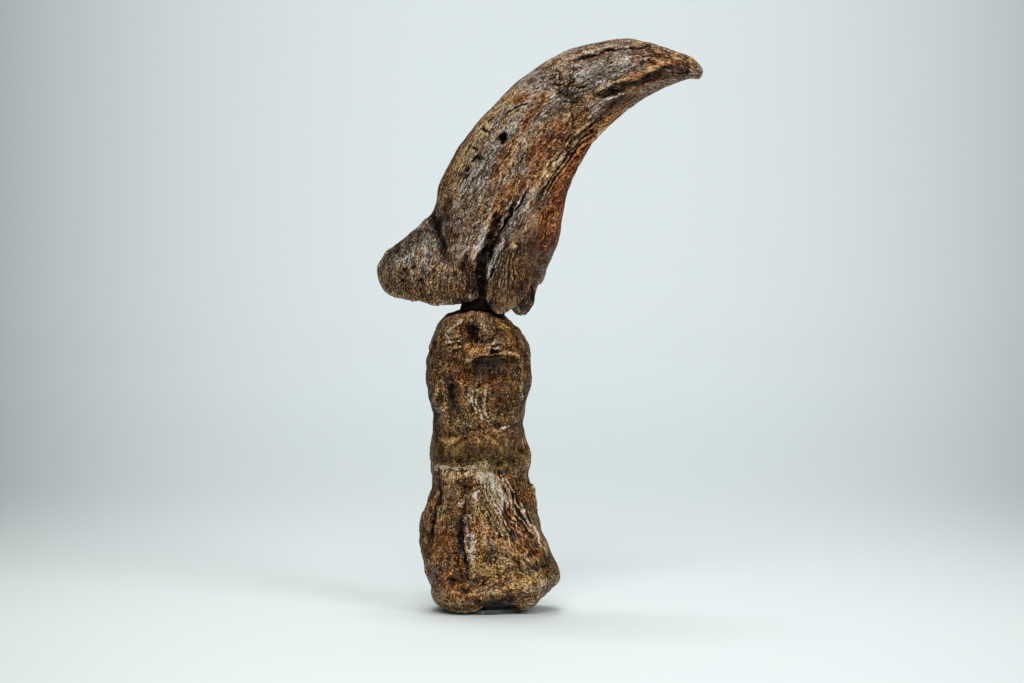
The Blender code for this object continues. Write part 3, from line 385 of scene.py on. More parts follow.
TOE_BONE_PATCHES = patches(
    # Light patches: painted light on the lower front, which flares out and faces up, and painted
    # glints on SPARKLE; elsewhere the bone's own lighter colour.
    light=(
        (((-49, 41), (-44, 40.9), (-38, 40.8)), 0.6, 0.7), (HEAD_LEFT, 0.6, 0.6), (HEAD_MIDDLE, 0.7, 0.6),
        (HEAD_RIM, 0.45, 1), (ARC, 0.26, 0.6), (LEFT_RIDGE, 0.3, 0.5), (LEFT_ORANGE, 0.6, 0.5),
        (DRIP_AREA, 1.8, 0.5),
        *((path, 0.4, 0.5) for path in SWIRLS),
        (((0, 16), (14, 14), (30, 10)), 2.6, 0.6), (((14, 27.6), (26, 26.2)), 1.3, 0.5), (CREAM, 0.9, 1.7),
        (((-49, 21), (-45, 19.9), (-44, 18.5)), 0.6, 0.8), (((2, 18.6), (12, 15.6), (20, 13.6)), 2, 0.5),
        (SPARKLE, 1.5, 1.1), (((62, 15.4), (70, 11)), 1.2, 0.6), (OLIVE_BASE, 1.6, 0.8),
        (((-40, 8.4), (-28, 5.4)), 1.4, 0.3), (UPPER_BACK, 2.4, 0.4),
        (((110, 12), (160, 9), (230, 11)), 2.6, 0.5),
    ),
    # Shade patches: painted shade at the bone's left and right sides, which turn away from the light,
    # at its top under the claw and in its hollows; elsewhere the bone's own darker colour.
    shade=(
        (((-52, 42), (-64, 36), (-66, 28)), 2.2, 1.1), (((60, 42), (72, 34), (70, 26)), 2, 1.1),
        (((-30, 43), (0, 43.4), (30, 42.6)), 2.6, 0.8), (((-40, 6), (0, 5), (40, 6)), 3, 0.3),
        (LEFT_DARK, 1.6, 1.4), (ARC_HOLLOW, 1.4, 1.4),
        (((-20, 39), (-4, 37), (20, 37.6), (44, 37)), 1.4, 0.8), (((34, 34), (50, 31)), 2.2, 0.8),
        (((-60, 25.6), (0, 25.6), (60, 25.6)), 2.6, 0.35), (((-40, 19), (-38, 13), (-36, 8)), 1.5, 0.6),
        (((62, 9), (70, 6.6)), 1.8, 0.8), (((-64, 18), (-56, 8)), 2.6, 0.4), (((54, 20), (66, 13)), 1.8, 0.6),
        (((60, 44), (76, 36), (80, 28)), 2.4, 0.8), (((120, 36), (180, 30), (240, 36)), 6, 0.5),
    ),
    amber=(
        (HEAD_MIDDLE, 0.8, 0.9), (((-30, 38), (0, 36), (30, 37)), 1.8, 0.5), (((-50, 12), (-30, 9)), 2, 0.6),
        (LEFT_ORANGE, 0.5, 0.8), (((22, 36.3), (27, 34.8), (32, 32.6)), 1.3, 0.7),
        (((36, 17), (50, 12.4), (58, 9.4)), 1.4, 0.8), (((46, 21.8), (47, 20.4), (43, 18.5)), 0.7, 0.8),
        (((58, 18.2), (68, 17.6)), 0.7, 1.1), (SPARKLE, 1.3, 0.5), (FRONT_HOLLOW, 0.9, 0.7),
        (((-42, 5.8), (-30, 4.7), (-16, 4.2)), 1.5, 0.8), (((-62, 17), (-60, 10)), 1.5, 0.4),
        (((-14, 16.6), (-6, 14)), 0.8, 0.5), (UPPER_BACK, 2.4, 0.8),
        (((110, 14), (160, 11), (230, 13)), 2.6, 0.7),
    ),
    ochre=(
        (((-4, 43.3), (0, 43.5)), 0.4, 1.4), (ARC, 0.3, 0.4), (CREAM, 1, 0.8),
        *((path, 0.4, 0.7) for path in SWIRLS),
        (((0, 15.6), (9, 15.3), (16, 14.7)), 1, 0.7), (OLIVE_BASE, 1.8, 1.1), (HEAD_RIM, 0.6, 0.7),
        (((140, 8), (200, 6.4)), 1.6, 0.7),
    ),
    grey=(
        (HEAD_LEFT, 0.7, 1), (WAIST_RIGHT, 0.9, 0.8), (((73, 27.7), (70, 25.7)), 0.6, 1),
        (DRIP_AREA, 1.5, 0.4),
        *((path, 0.6, 0.6) for path in LEFT_WHITES),
        (((53, 4.4), (61, 5.2), (67, 5.9)), 1.1, 0.9), (((10, 17.8), (20, 15.4)), 1.6, 0.5),
        (((-74, 34), (-70, 28)), 1.2, 0.6),
    ),
    pale=(
        (WHITE, 1.4, 2.6),
        *((path, 0.12, 0.8) for path in FANS[1::2]),
        *((path, 0.4, 0.7) for path in LEFT_WHITES),
        (PALE_LINE, 0.4, 1.1), (CREAM, 0.7, 0.5),
        *((path, 0.12, 0.55) for path in KNUCKLE_LINES),
        (((-38, 43.7), (-32, 44.4), (-24, 45)), 0.4, 0.5), (((-1, 44.6), (6, 44.4), (9, 44.1)), 0.35, 0.8),
        *((path, 0.24, 0.45) for path in DRIPS),
        (PALE_TICK, 0.16, 1), (((73, 27.7), (72, 26.8), (70, 25.7)), 0.4, 1.1), (EDGE_RIDGE, 0.2, 0.9),
        (((-50, 20.6), (-46, 19.4)), 0.6, 0.5),
    ),
    # Dark patches: painted shade in the notch, the grooves, the lines between the fibres and under the
    # foot's arch, together with the bone's own darker colour along the waist.
    dark=(
        (NOTCH, 0.8, 0.6), (((-52, 37), (-53, 33)), 0.6, 0.4), (((-30, 39.2), (-18, 37.4)), 1.1, 0.5),
        (((-60, 24.2), (-33, 24), (9, 23.7), (51, 23.9)), 1.3, 0.5), (((-68, 27.8), (-66, 25.6)), 0.9, 0.5),
        (((52, 27.2), (60, 25.4)), 1, 0.5), (FRONT_GROOVE, 0.5, 0.9), (FRONT_HOLLOW, 0.8, 0.4),
        (LEFT_GROOVE, 0.5, 0.7),
        *((shifted(path, 3), 0.13, 0.5) for path in FANS),
        (((53, 20.6), (59, 19.2)), 0.9, 0.4), (((-73, 13.5), (-64, 11.1), (-61, 8.9)), 1, 0.5),
        (((0, 2), (18, 2), (34, 2.4)), 0.8, 0.8), (((150, 24.6), (210, 24.4)), 1.6, 0.5),
        (((176, 38), (184, 37.6)), 1.8, 0.5),
    ),
    olive=(
        (((-60, 24.6), (-33, 24.4), (9, 24.1), (51, 24.3)), 1.8, 1.2), (WAIST_RIGHT, 0.9, 0.9),
        (FOOT_HOLLOW, 1.2, 0.8), (ARC_HOLLOW, 1.2, 0.7), (((-80, 34), (-72, 30)), 1.4, 0.5),
        (WAIST_BACK, 2.4, 0.75),
    ),
)

TOE_BONE_REGIONS = patches(
    granular=(
        (((-20, 34), (10, 32.6), (44, 33)), 3, 0.9), (((-70, 6.6), (0, 5), (80, 6.4)), 2.6, 0.9),
        (SPARKLE, 1.6, 1), (((130, 34), (230, 34)), 3.4, 0.8), (((110, 6), (180, 5), (250, 6)), 2.6, 0.9),
        (((-14, 41), (2, 41.6)), 1.5, 1),
    ),
    fibrous=(
        (((26, 19), (38, 14.6), (50, 10)), 3.4, 1), (((-60, 20), (-58, 10)), 3, 0.7),
        (((100, 19), (180, 16), (260, 19)), 4, 0.8), (((-48, 41.6), (-28, 43.6)), 1.3, 0.7),
    ),
    smooth=(
        (WAIST_ROUND, 2.4, 0.5), (WAIST_BACK, 2.4, 0.5), (ARC_HOLLOW, 1, 0.6),
        (((34, 43.4), (50, 42.4)), 1.6, 0.4),
    ),
)
FAN_TOP, FAN_MIDDLE, FAN_SPREAD, FAN_LEAN = 21.0, 48.0, 28.0, 1.5  # fibres lean by degrees for each mm below

# Unevenness of each skin: wavelength across and along the grain, and its height.
Layer = namedtuple("Layer", "across along height")
CLAW_LUMPS = (Layer(3.2, 9.0, 0.13), Layer(1.4, 5.0, 0.06))
CLAW_GRAIN = (Layer(0.7, 5.0, 0.08), Layer(0.42, 2.4, 0.05))
CLAW_CRACKS = Layer(1.3, 7.0, -0.14)
CLAW_GRIT = (Layer(0.8, 1.6, 0.02), Layer(0.42, 0.8, 0.02))
TOE_BONE_LUMPS = (Layer(3.4, 4.0, 0.18), Layer(1.6, 2.0, 0.12))
TOE_BONE_GRAIN = (Layer(0.9, 4.0, 0.1), Layer(0.46, 2.0, 0.075))
TOE_BONE_CRACKS = Layer(1.5, 6.0, -0.16)
TOE_BONE_GRIT = (Layer(0.9, 1.0, 0.05), Layer(0.46, 0.5, 0.045))
CRACK_WIDTH = 0.09
CRACK_PATCHES, CRACK_FADE = 4.0, (0.0, 0.5)  # how far apart cracked areas are, and the noise at their edges
PIT_SPACING, PIT_SHARE, PIT_SIZE = 1.7, 0.3, 0.34
WARPS = (Layer(2.4, 2.4, 0.4), Layer(0.8, 0.8, 0.22))  # how far the strokes' outlines wander
WEAR, WEAR_LIMITS = Layer(1.5, 1.5, 0.9), (0.15, 1.6)  # how unevenly the strokes are cut

# The random tables that each bone's relief is drawn from.
Seeds = namedtuple("Seeds", "warp wear lumps grit grain pits cracks")
CLAW_SEEDS = Seeds(11, 15, 21, 31, 41, 51, 61)
TOE_BONE_SEEDS = Seeds(12, 16, 22, 32, 42, 52, 62)
FILLER_SEED, PUTTY_SEED = 71, 81

# The strength of each kind of relief everywhere, and what its region adds to that.
Shares = namedtuple("Shares", "grit grain pits")
CLAW_SHARES = Shares((0.7, 0.9), (0.7, 0.8), (-0.04, -0.2))
TOE_BONE_SHARES = Shares((0.7, 0.7), (0.4, 1.0), (-0.12, -0.2))
UNGRAINED, UNLUMPED = 0.6, 0.4  # what granular claw loses of its grain, and smooth toe bone of its lumps

# Glue and putty.
FILLER_GROWTH = 0.5
FILLER_LUMPS = (Layer(2.0, 2.0, 0.18), Layer(0.8, 0.8, 0.08))
PUTTY_LUMPS = (Layer(2.4, 2.4, 0.3), Layer(0.9, 0.9, 0.12))
PUTTY_STEPS = 6  # smoothing steps
PUTTY_PULL = 6.0  # the unevenness that would double the putty's width
PUTTY_EDGE = (0.1, 0.3)  # heights between which its top's lumps fade in
PUTTY_RISE, PUTTY_ROUGH = 0.3, 0.6
FOOT_REACH = (0.3, 2.4)  # the foot's skin ends this high, and keeps the solid's shape above this height
FOOT_PLAIN = 0.9  # below this height the toe bone's skin has no relief

# The photograph's view: the camera's turn and height angle, its distance, and the scale at the object.
CAMERA_TURN, CAMERA_RISE = math.radians(15.0), math.radians(4.0)
CAMERA_DISTANCE = 600.0
IMAGE_WIDTH, IMAGE_HEIGHT = 1024, 683
BASE_PIXEL = (487.0, 611.5)
MM_PER_PIXEL = 88.0 / 572.0
SENSOR_WIDTH = 36.0
CAMERA_CLIP = (0.01, 10.0)  # metres

# Noise: rows in its random tables, what brings it to about -1 to 1, and the least and greatest share of a
# pit's place in its cell and of its width.
TABLE_SIZE = 256
NOISE_GAIN = 1.6
PIT_PLACES, PIT_WIDTHS = (0.15, 0.85), (0.6, 1.5)


def through(knots, values, at):
    """Values on the smooth curve through the given knots (Catmull-Rom), for each place in at."""
    slopes = np.gradient(values, knots, axis=0)
    left = np.clip(np.searchsorted(knots, at, side="right") - 1, 0, len(knots) - 2)
    span = (knots[left + 1] - knots[left])[:, None]
    share = (at - knots[left])[:, None] / span
    square, cube = share**2, share**3
    return (
        values[left] * (2 * cube - 3 * square + 1)
        + values[left + 1] * (3 * square - 2 * cube)
        + slopes[left] * span * (cube - 2 * square + share)
        + slopes[left + 1] * span * (cube - square)
    )


def smooth_path(path, count=SMOOTH_PATH_POINTS):
    path = np.asarray(path, float)
    if len(path) == 2:
        return path
    knots = np.concatenate([[0], np.cumsum(np.linalg.norm(np.diff(path, axis=0), axis=1))])
    return through(knots, path, np.linspace(0, knots[-1], count))


def smooth_step(low, high, value):
    share = np.clip((value - low) / (high - low), 0, 1)
    return share * share * (3 - 2 * share)


def nearest_on(points, path):
    """How far each 2-D point is from a path, its share of the way along it, and its side (1 is the left)."""
    nearest = np.full(len(points), np.inf)
    place = np.zeros(len(points))
    side = np.ones(len(points))
    for step, (start, end) in enumerate(zip(path[:-1], path[1:])):
        along = end - start
        offset = points - start
        share = np.clip(offset @ along / (along @ along), 0, 1)
        distance = np.linalg.norm(offset - share[:, None] * along, axis=1)
        closer = distance < nearest
        nearest[closer] = distance[closer]
        place[closer] = (step + share[closer]) / (len(path) - 1)
        side[closer] = np.sign(along[0] * offset[closer, 1] - along[1] * offset[closer, 0])
    return nearest, place, side


def mixed_up(order, cells):
    """A row of the random tables for each 3-D cell."""
    x, y, z = (cells % TABLE_SIZE).T
    return order[(order[(order[x] + y) % TABLE_SIZE] + z) % TABLE_SIZE]


def gradient_noise(points, seed):
    """Smooth noise of about -1 to 1 at 3-D points, with lumps about one unit across."""
    draw = np.random.default_rng(seed)
    order = draw.permutation(TABLE_SIZE)
    slopes = draw.normal(size=(TABLE_SIZE, 3))
    slopes /= np.linalg.norm(slopes, axis=1)[:, None]
    cell = np.floor(points).astype(int)
    part = points - cell
    ease = part**3 * (part * (part * 6 - 15) + 10)
    total = np.zeros(len(points))
    for corner in itertools.product((0, 1), repeat=3):
        weight = np.prod(np.where(corner, ease, 1 - ease), axis=1)
        total += weight * ((part - corner) * slopes[mixed_up(order, cell + corner)]).sum(axis=1)
    return total * NOISE_GAIN


def pit_field(points, seed):
    """Round pits, 1 at a pit's middle: at most one in each cell, and only in some cells."""
    draw = np.random.default_rng(seed)
    order = draw.permutation(TABLE_SIZE)
    places = draw.uniform(*PIT_PLACES, size=(TABLE_SIZE, 3))
    widths = PIT_SIZE * draw.uniform(*PIT_WIDTHS, size=TABLE_SIZE)
    widths = np.maximum(widths * (draw.uniform(size=TABLE_SIZE) < PIT_SHARE), TINY)
    cell = np.floor(points / PIT_SPACING).astype(int)
    deepest = np.zeros(len(points))
    for step in itertools.product((-1, 0, 1), repeat=3):
        row = mixed_up(order, cell + step)
        distance = np.linalg.norm(points - (cell + step + places[row]) * PIT_SPACING, axis=1)
        deepest = np.maximum(deepest, np.exp(-((distance / widths[row]) ** 2)))
    return deepest


def layered(grain, layers, seed):
    """Noise drawn out along the grain: grain is (along, across, across) in millimetres."""
    return sum(
        layer.height * gradient_noise(grain / (layer.along, layer.across, layer.across), seed + index)
        for index, layer in enumerate(layers)
    )


def fine_cracks(grain, layer, seed):
    """Thin lines drawn out along the grain, where the noise passes through zero."""
    noise = gradient_noise(grain / (layer.along, layer.across, layer.across), seed)
    where = gradient_noise(grain / (layer.along, CRACK_PATCHES, CRACK_PATCHES), seed + 1)
    return layer.height * np.exp(-((noise / CRACK_WIDTH) ** 2)) * smooth_step(*CRACK_FADE, where)


def points_of(mesh, attribute="co"):
    values = np.empty(len(mesh.vertices) * 3, np.float32)
    mesh.vertices.foreach_get(attribute, values)
    return values.reshape(-1, 3).astype(float)


def place_points(mesh, points):
    mesh.vertices.foreach_set("co", points.astype(np.float32).ravel())
    mesh.update()


def raise_skin(mesh, heights):
    """Moves each point of a skin along its normal."""
    place_points(mesh, points_of(mesh) + points_of(mesh, "normal") * heights[:, None])


class Neighbours:
    """Averages over the points next to each point of a mesh."""

    def __init__(self, mesh):
        ends = np.empty(len(mesh.edges) * 2, np.int32)
        mesh.edges.foreach_get("vertices", ends)
        first, second = ends.reshape(-1, 2).T
        self.here = np.concatenate([first, second])
        self.there = np.concatenate([second, first])
        self.count = np.bincount(self.here, minlength=len(mesh.vertices))

    def mean(self, values):
        sums = [np.bincount(self.here, column[self.there], len(self.count)) for column in values.T]
        return np.column_stack(sums) / self.count[:, None]

    def smooth(self, values, steps, share=SMOOTH_IN):
        for _ in range(steps):
            values = values + share * (self.mean(values) - values)
        return values

    def smooth_and_keep_size(self, points, steps):
        for _ in range(steps):
            points = self.smooth(points, 1, SMOOTH_IN)
            points = self.smooth(points, 1, SMOOTH_OUT)
        return points


def placed(name, data):
    """A new object in the scene."""
    made = bpy.data.objects.new(name, data)
    bpy.context.scene.collection.objects.link(made)
    return made


def fine_skin(node, name, face):
    """A closed skin of small even faces, in millimetres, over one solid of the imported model."""
    shape = bmesh.new()
    shape.from_mesh(node.data)
    bmesh.ops.scale(shape, vec=(1 / MM,) * 3, verts=shape.verts)
    bmesh.ops.remove_doubles(shape, verts=shape.verts, dist=WELD)
    coarse = bpy.data.meshes.new(name + "_coarse")
    shape.to_mesh(coarse)
    shape.free()
    maker = placed(name + "_coarse", coarse)
    remesh = maker.modifiers.new("fine faces", "REMESH")
    remesh.mode = "VOXEL"
    remesh.voxel_size = face
    graph = bpy.context.evaluated_depsgraph_get()
    skin = bpy.data.meshes.new_from_object(maker.evaluated_get(graph))
    skin.name = name
    bpy.data.objects.remove(maker)
    bpy.data.meshes.remove(coarse)
    return skin


def smooth_skin(node, name, face):
    """A fine skin without the solid's facets, and its neighbours."""
    mesh = fine_skin(node, name, face)
    neighbours = Neighbours(mesh)
    place_points(mesh, neighbours.smooth_and_keep_size(points_of(mesh), SMOOTHING_STEPS))
    return mesh, neighbours


def write_attribute(mesh, name, values):
    kind, key = ("FLOAT", "value") if values.ndim == 1 else ("FLOAT_VECTOR", "vector")
    attribute = mesh.attributes.new(name, kind, "POINT")
    attribute.data.foreach_set(key, values.astype(np.float32).ravel())


def write_cavities(mesh, neighbours):
    """How hollow the skin is at each point, at three scales; 0 is flat and 1 is a usual groove."""
    points = points_of(mesh)
    normals = points_of(mesh, "normal")
    smoothed, done = points, 0
    for name, steps in CAVITY_SCALES.items():
        smoothed = neighbours.smooth(smoothed, steps - done)
        done = steps
        depth = ((smoothed - points) * normals).sum(axis=1)
        write_attribute(mesh, name, np.clip(depth / depth.std(), -CAVITY_LIMIT, CAVITY_LIMIT))


def near_path(flat, path, spread):
    """Which 2-D points a shape of some spread along a path can reach."""
    reach = REACH * spread
    return ((flat > path.min(axis=0) - reach) & (flat < path.max(axis=0) + reach)).all(axis=1)


def profile_of(distance, side, stroke):
    share = distance / stroke.spread
    if stroke.profile == SHARP:
        return np.clip(1 - share / SHARP_REACH, 0, 1) ** 2
    if stroke.profile == STEP:
        return side * np.minimum(distance / STEP_EDGE, 1) * np.exp(-(share**2))
    return np.exp(-(share**2))


def stroke_height(flat, stroke):
    """The height that one stroke adds at each 2-D point."""
    path = smooth_path(stroke.path)
    near = near_path(flat, path, stroke.spread)
    height = np.zeros(len(flat))
    distance, place, side = nearest_on(flat[near], path)
    local = stroke.height * profile_of(distance, side, stroke)
    if len(stroke.path) > 2:
        local *= smooth_step(0, END_FADE, place) * smooth_step(0, END_FADE, 1 - place)
    height[near] = local
    return height


def side_weights(points):
    far = smooth_step(-FLANK_BLEND, FLANK_BLEND, points[:, 1])
    return {NEAR: 1 - far, FAR: far, BOTH: 1.0}


def warped(flat, points, seed):
    """2-D places moved a little by noise, so that strokes and patches have natural edges."""
    for step, warp in enumerate(WARPS):
        place = points / warp.across
        shift = [gradient_noise(place, seed + 10 * step + axis) for axis in (0, 1)]
        flat = flat + warp.height * np.column_stack(shift)
    return flat


def worn(points, seed):
    """How deep the strokes are cut at each point, as a share."""
    return np.clip(1 + WEAR.height * gradient_noise(points / WEAR.across, seed), *WEAR_LIMITS)


def region_weights(mesh, flat, weights, regions):
    """How granular, fibrous and smooth each point is, also kept for the material."""
    found = [np.clip(patch_total(flat, weights, group), 0, 1) for group in regions.values()]
    for name, values in zip(regions, found):
        write_attribute(mesh, name, values)
    return found


def strength(share, region):
    usual, added = share
    return usual + added * region


def claw_grain(points):
    """(along, across, depth) of each point, where along and across follow the claw's curved middle line."""
    axis = smooth_path(CLAW_AXIS, AXIS_POINTS)
    length = np.linalg.norm(np.diff(axis, axis=0), axis=1).sum()
    distance, place, side = nearest_on(points[:, [0, 2]], axis)
    return np.column_stack([place * length, distance * side, points[:, 1]])


def make_claw_skin(node):
    mesh, neighbours = smooth_skin(node, "claw_skin", CLAW_FACE)
    points = points_of(mesh)
    weights = side_weights(points)
    seeds, shares = CLAW_SEEDS, CLAW_SHARES
    flat = warped(points[:, [0, 2]], points, seeds.warp)
    heights = sum(stroke_height(flat, stroke) * weights[stroke.flank] for stroke in CLAW_STROKES)
    raise_skin(mesh, heights * worn(points, seeds.wear))

    grain = claw_grain(points)
    granular, fibrous, smooth = region_weights(mesh, flat, weights, CLAW_REGIONS)
    grit = layered(grain, CLAW_GRIT, seeds.grit) * strength(shares.grit, granular)
    lines = layered(grain, CLAW_GRAIN, seeds.grain) * strength(shares.grain, fibrous)
    pits = pit_field(points, seeds.pits) * strength(shares.pits, granular)
    cracks = fine_cracks(grain, CLAW_CRACKS, seeds.cracks)
    rough = grit + lines * (1 - UNGRAINED * granular) + pits + cracks
    raise_skin(mesh, layered(grain, CLAW_LUMPS, seeds.lumps) + rough * (1 - smooth))
    write_cavities(mesh, neighbours)
    write_patches(mesh, flat, weights, CLAW_PATCHES)
    write_attribute(mesh, "grain", grain)
    return mesh


def unrolled(points):
    """(distance round the toe bone at its usual radius, height), and the angle in radians."""
    turn = math.radians(TOE_BONE_TURN)
    x = points[:, 0] * math.cos(turn) + points[:, 1] * math.sin(turn) - TOE_BONE_AXIS_X
    y = -points[:, 0] * math.sin(turn) + points[:, 1] * math.cos(turn)
    angle = np.arctan2(x, -y)
    return np.column_stack([angle * TOE_BONE_RADIUS, points[:, 2]]), angle


def on_toe_bone(shape, turn):
    """A stroke or patch with its angles turned into lengths round the bone."""
    path = tuple((math.radians(angle + turn) * TOE_BONE_RADIUS, z) for angle, z in shape.path)
    return shape._replace(path=path, flank=BOTH)


def all_round(shapes):
    """Each shape, and again a full turn lower, for the ones that cross or lie past the back."""
    return tuple(on_toe_bone(shape, turn) for shape in shapes for turn in (0, -360))


def make_toe_bone_skin(node):
    mesh, neighbours = smooth_skin(node, "toe_bone_skin", TOE_BONE_FACE)
    points = points_of(mesh)
    flat, angle = unrolled(points)
    seeds, shares = TOE_BONE_SEEDS, TOE_BONE_SHARES
    flat = warped(flat, points, seeds.warp)
    above_foot = smooth_step(FOOT_PLAIN, FOOT_REACH[1], points[:, 2])
    heights = sum(stroke_height(flat, stroke) for stroke in all_round(TOE_BONE_STROKES))
    raise_skin(mesh, heights * worn(points, seeds.wear) * above_foot)

    grain = toe_bone_grain(points, angle)
    weights = {BOTH: 1.0}
    regions = {name: all_round(group) for name, group in TOE_BONE_REGIONS.items()}
    granular, fibrous, smooth = region_weights(mesh, flat, weights, regions)
    grit = layered(points, TOE_BONE_GRIT, seeds.grit) * strength(shares.grit, granular)
    lines = layered(grain, TOE_BONE_GRAIN, seeds.grain) * strength(shares.grain, fibrous)
    pits = pit_field(points, seeds.pits) * strength(shares.pits, granular)
    rough = grit + lines + pits + fine_cracks(grain, TOE_BONE_CRACKS, seeds.cracks) * fibrous
    lumps = layered(points, TOE_BONE_LUMPS, seeds.lumps) * (1 - UNLUMPED * smooth)
    raise_skin(mesh, (lumps + rough * (1 - smooth)) * above_foot)
    settle_foot(mesh)
    write_cavities(mesh, neighbours)
    write_patches(mesh, flat, weights, {name: all_round(group) for name, group in TOE_BONE_PATCHES.items()})
    write_attribute(mesh, "grain", grain)
    return mesh


def toe_bone_grain(points, angle):
    """(along, across, across) of each point. Below the waist the fibres fan out towards the front's right."""
    degrees = np.degrees(angle)
    below = np.clip(FAN_TOP - points[:, 2], 0, None)
    lean = FAN_LEAN * below * np.exp(-(((degrees - FAN_MIDDLE) / FAN_SPREAD) ** 2))
    upright = np.radians(degrees - lean)
    across = TOE_BONE_RADIUS * np.column_stack([np.cos(upright), np.sin(upright)])
    return np.column_stack([points[:, 2], across])


def settle_foot(mesh):
    """Lets the foot's lowest points down into the putty."""
    points = points_of(mesh)
    lowest = points[:, 2].min()
    points[:, 2] -= (lowest - FOOT_REACH[0]) * smooth_step(FOOT_REACH[1], lowest, points[:, 2])
    place_points(mesh, points)


def write_patches(mesh, flat, weights, groups):
    for name, group in groups.items():
        write_attribute(mesh, name, patch_total(flat, weights, group))


def patch_total(flat, weights, group):
    """The strongest of a group of patches at each 2-D point."""
    total = np.zeros(len(flat))
    for patch in group:
        path = smooth_path(patch.path)
        near = near_path(flat, path, patch.spread)
        weight = np.zeros(len(flat))
        weight[near] = patch.strength * np.exp(-((nearest_on(flat[near], path)[0] / patch.spread) ** 2))
        total = np.maximum(total, weight * weights[patch.flank])
    return total


def make_filler_skin(node):
    """The glue, swollen so that it meets both bones."""
    mesh, neighbours = smooth_skin(node, "glue_skin", FILLER_FACE)
    raise_skin(mesh, np.full(len(mesh.vertices), FILLER_GROWTH))
    raise_skin(mesh, layered(points_of(mesh), FILLER_LUMPS, FILLER_SEED))
    write_cavities(mesh, neighbours)
    return mesh


def make_putty_skin(node):
    """The putty, pressed out unevenly round the foot."""
    mesh = fine_skin(node, "putty_skin", PUTTY_FACE)
    neighbours = Neighbours(mesh)
    points = neighbours.smooth_and_keep_size(points_of(mesh), PUTTY_STEPS)
    shift = layered(points * (1, 1, 0), PUTTY_LUMPS, PUTTY_SEED)
    centre = points.mean(axis=0)
    points[:, :2] += (points[:, :2] - centre[:2]) * (shift / PUTTY_PULL)[:, None]
    top = smooth_step(*PUTTY_EDGE, points[:, 2])
    lumps = np.abs(layered(points, PUTTY_LUMPS, PUTTY_SEED + 1))
    points[:, 2] += top * (PUTTY_RISE + PUTTY_ROUGH * lumps)
    points[:, 2] = np.maximum(points[:, 2], 0.0)
    place_points(mesh, points)
    write_cavities(mesh, neighbours)
    return mesh


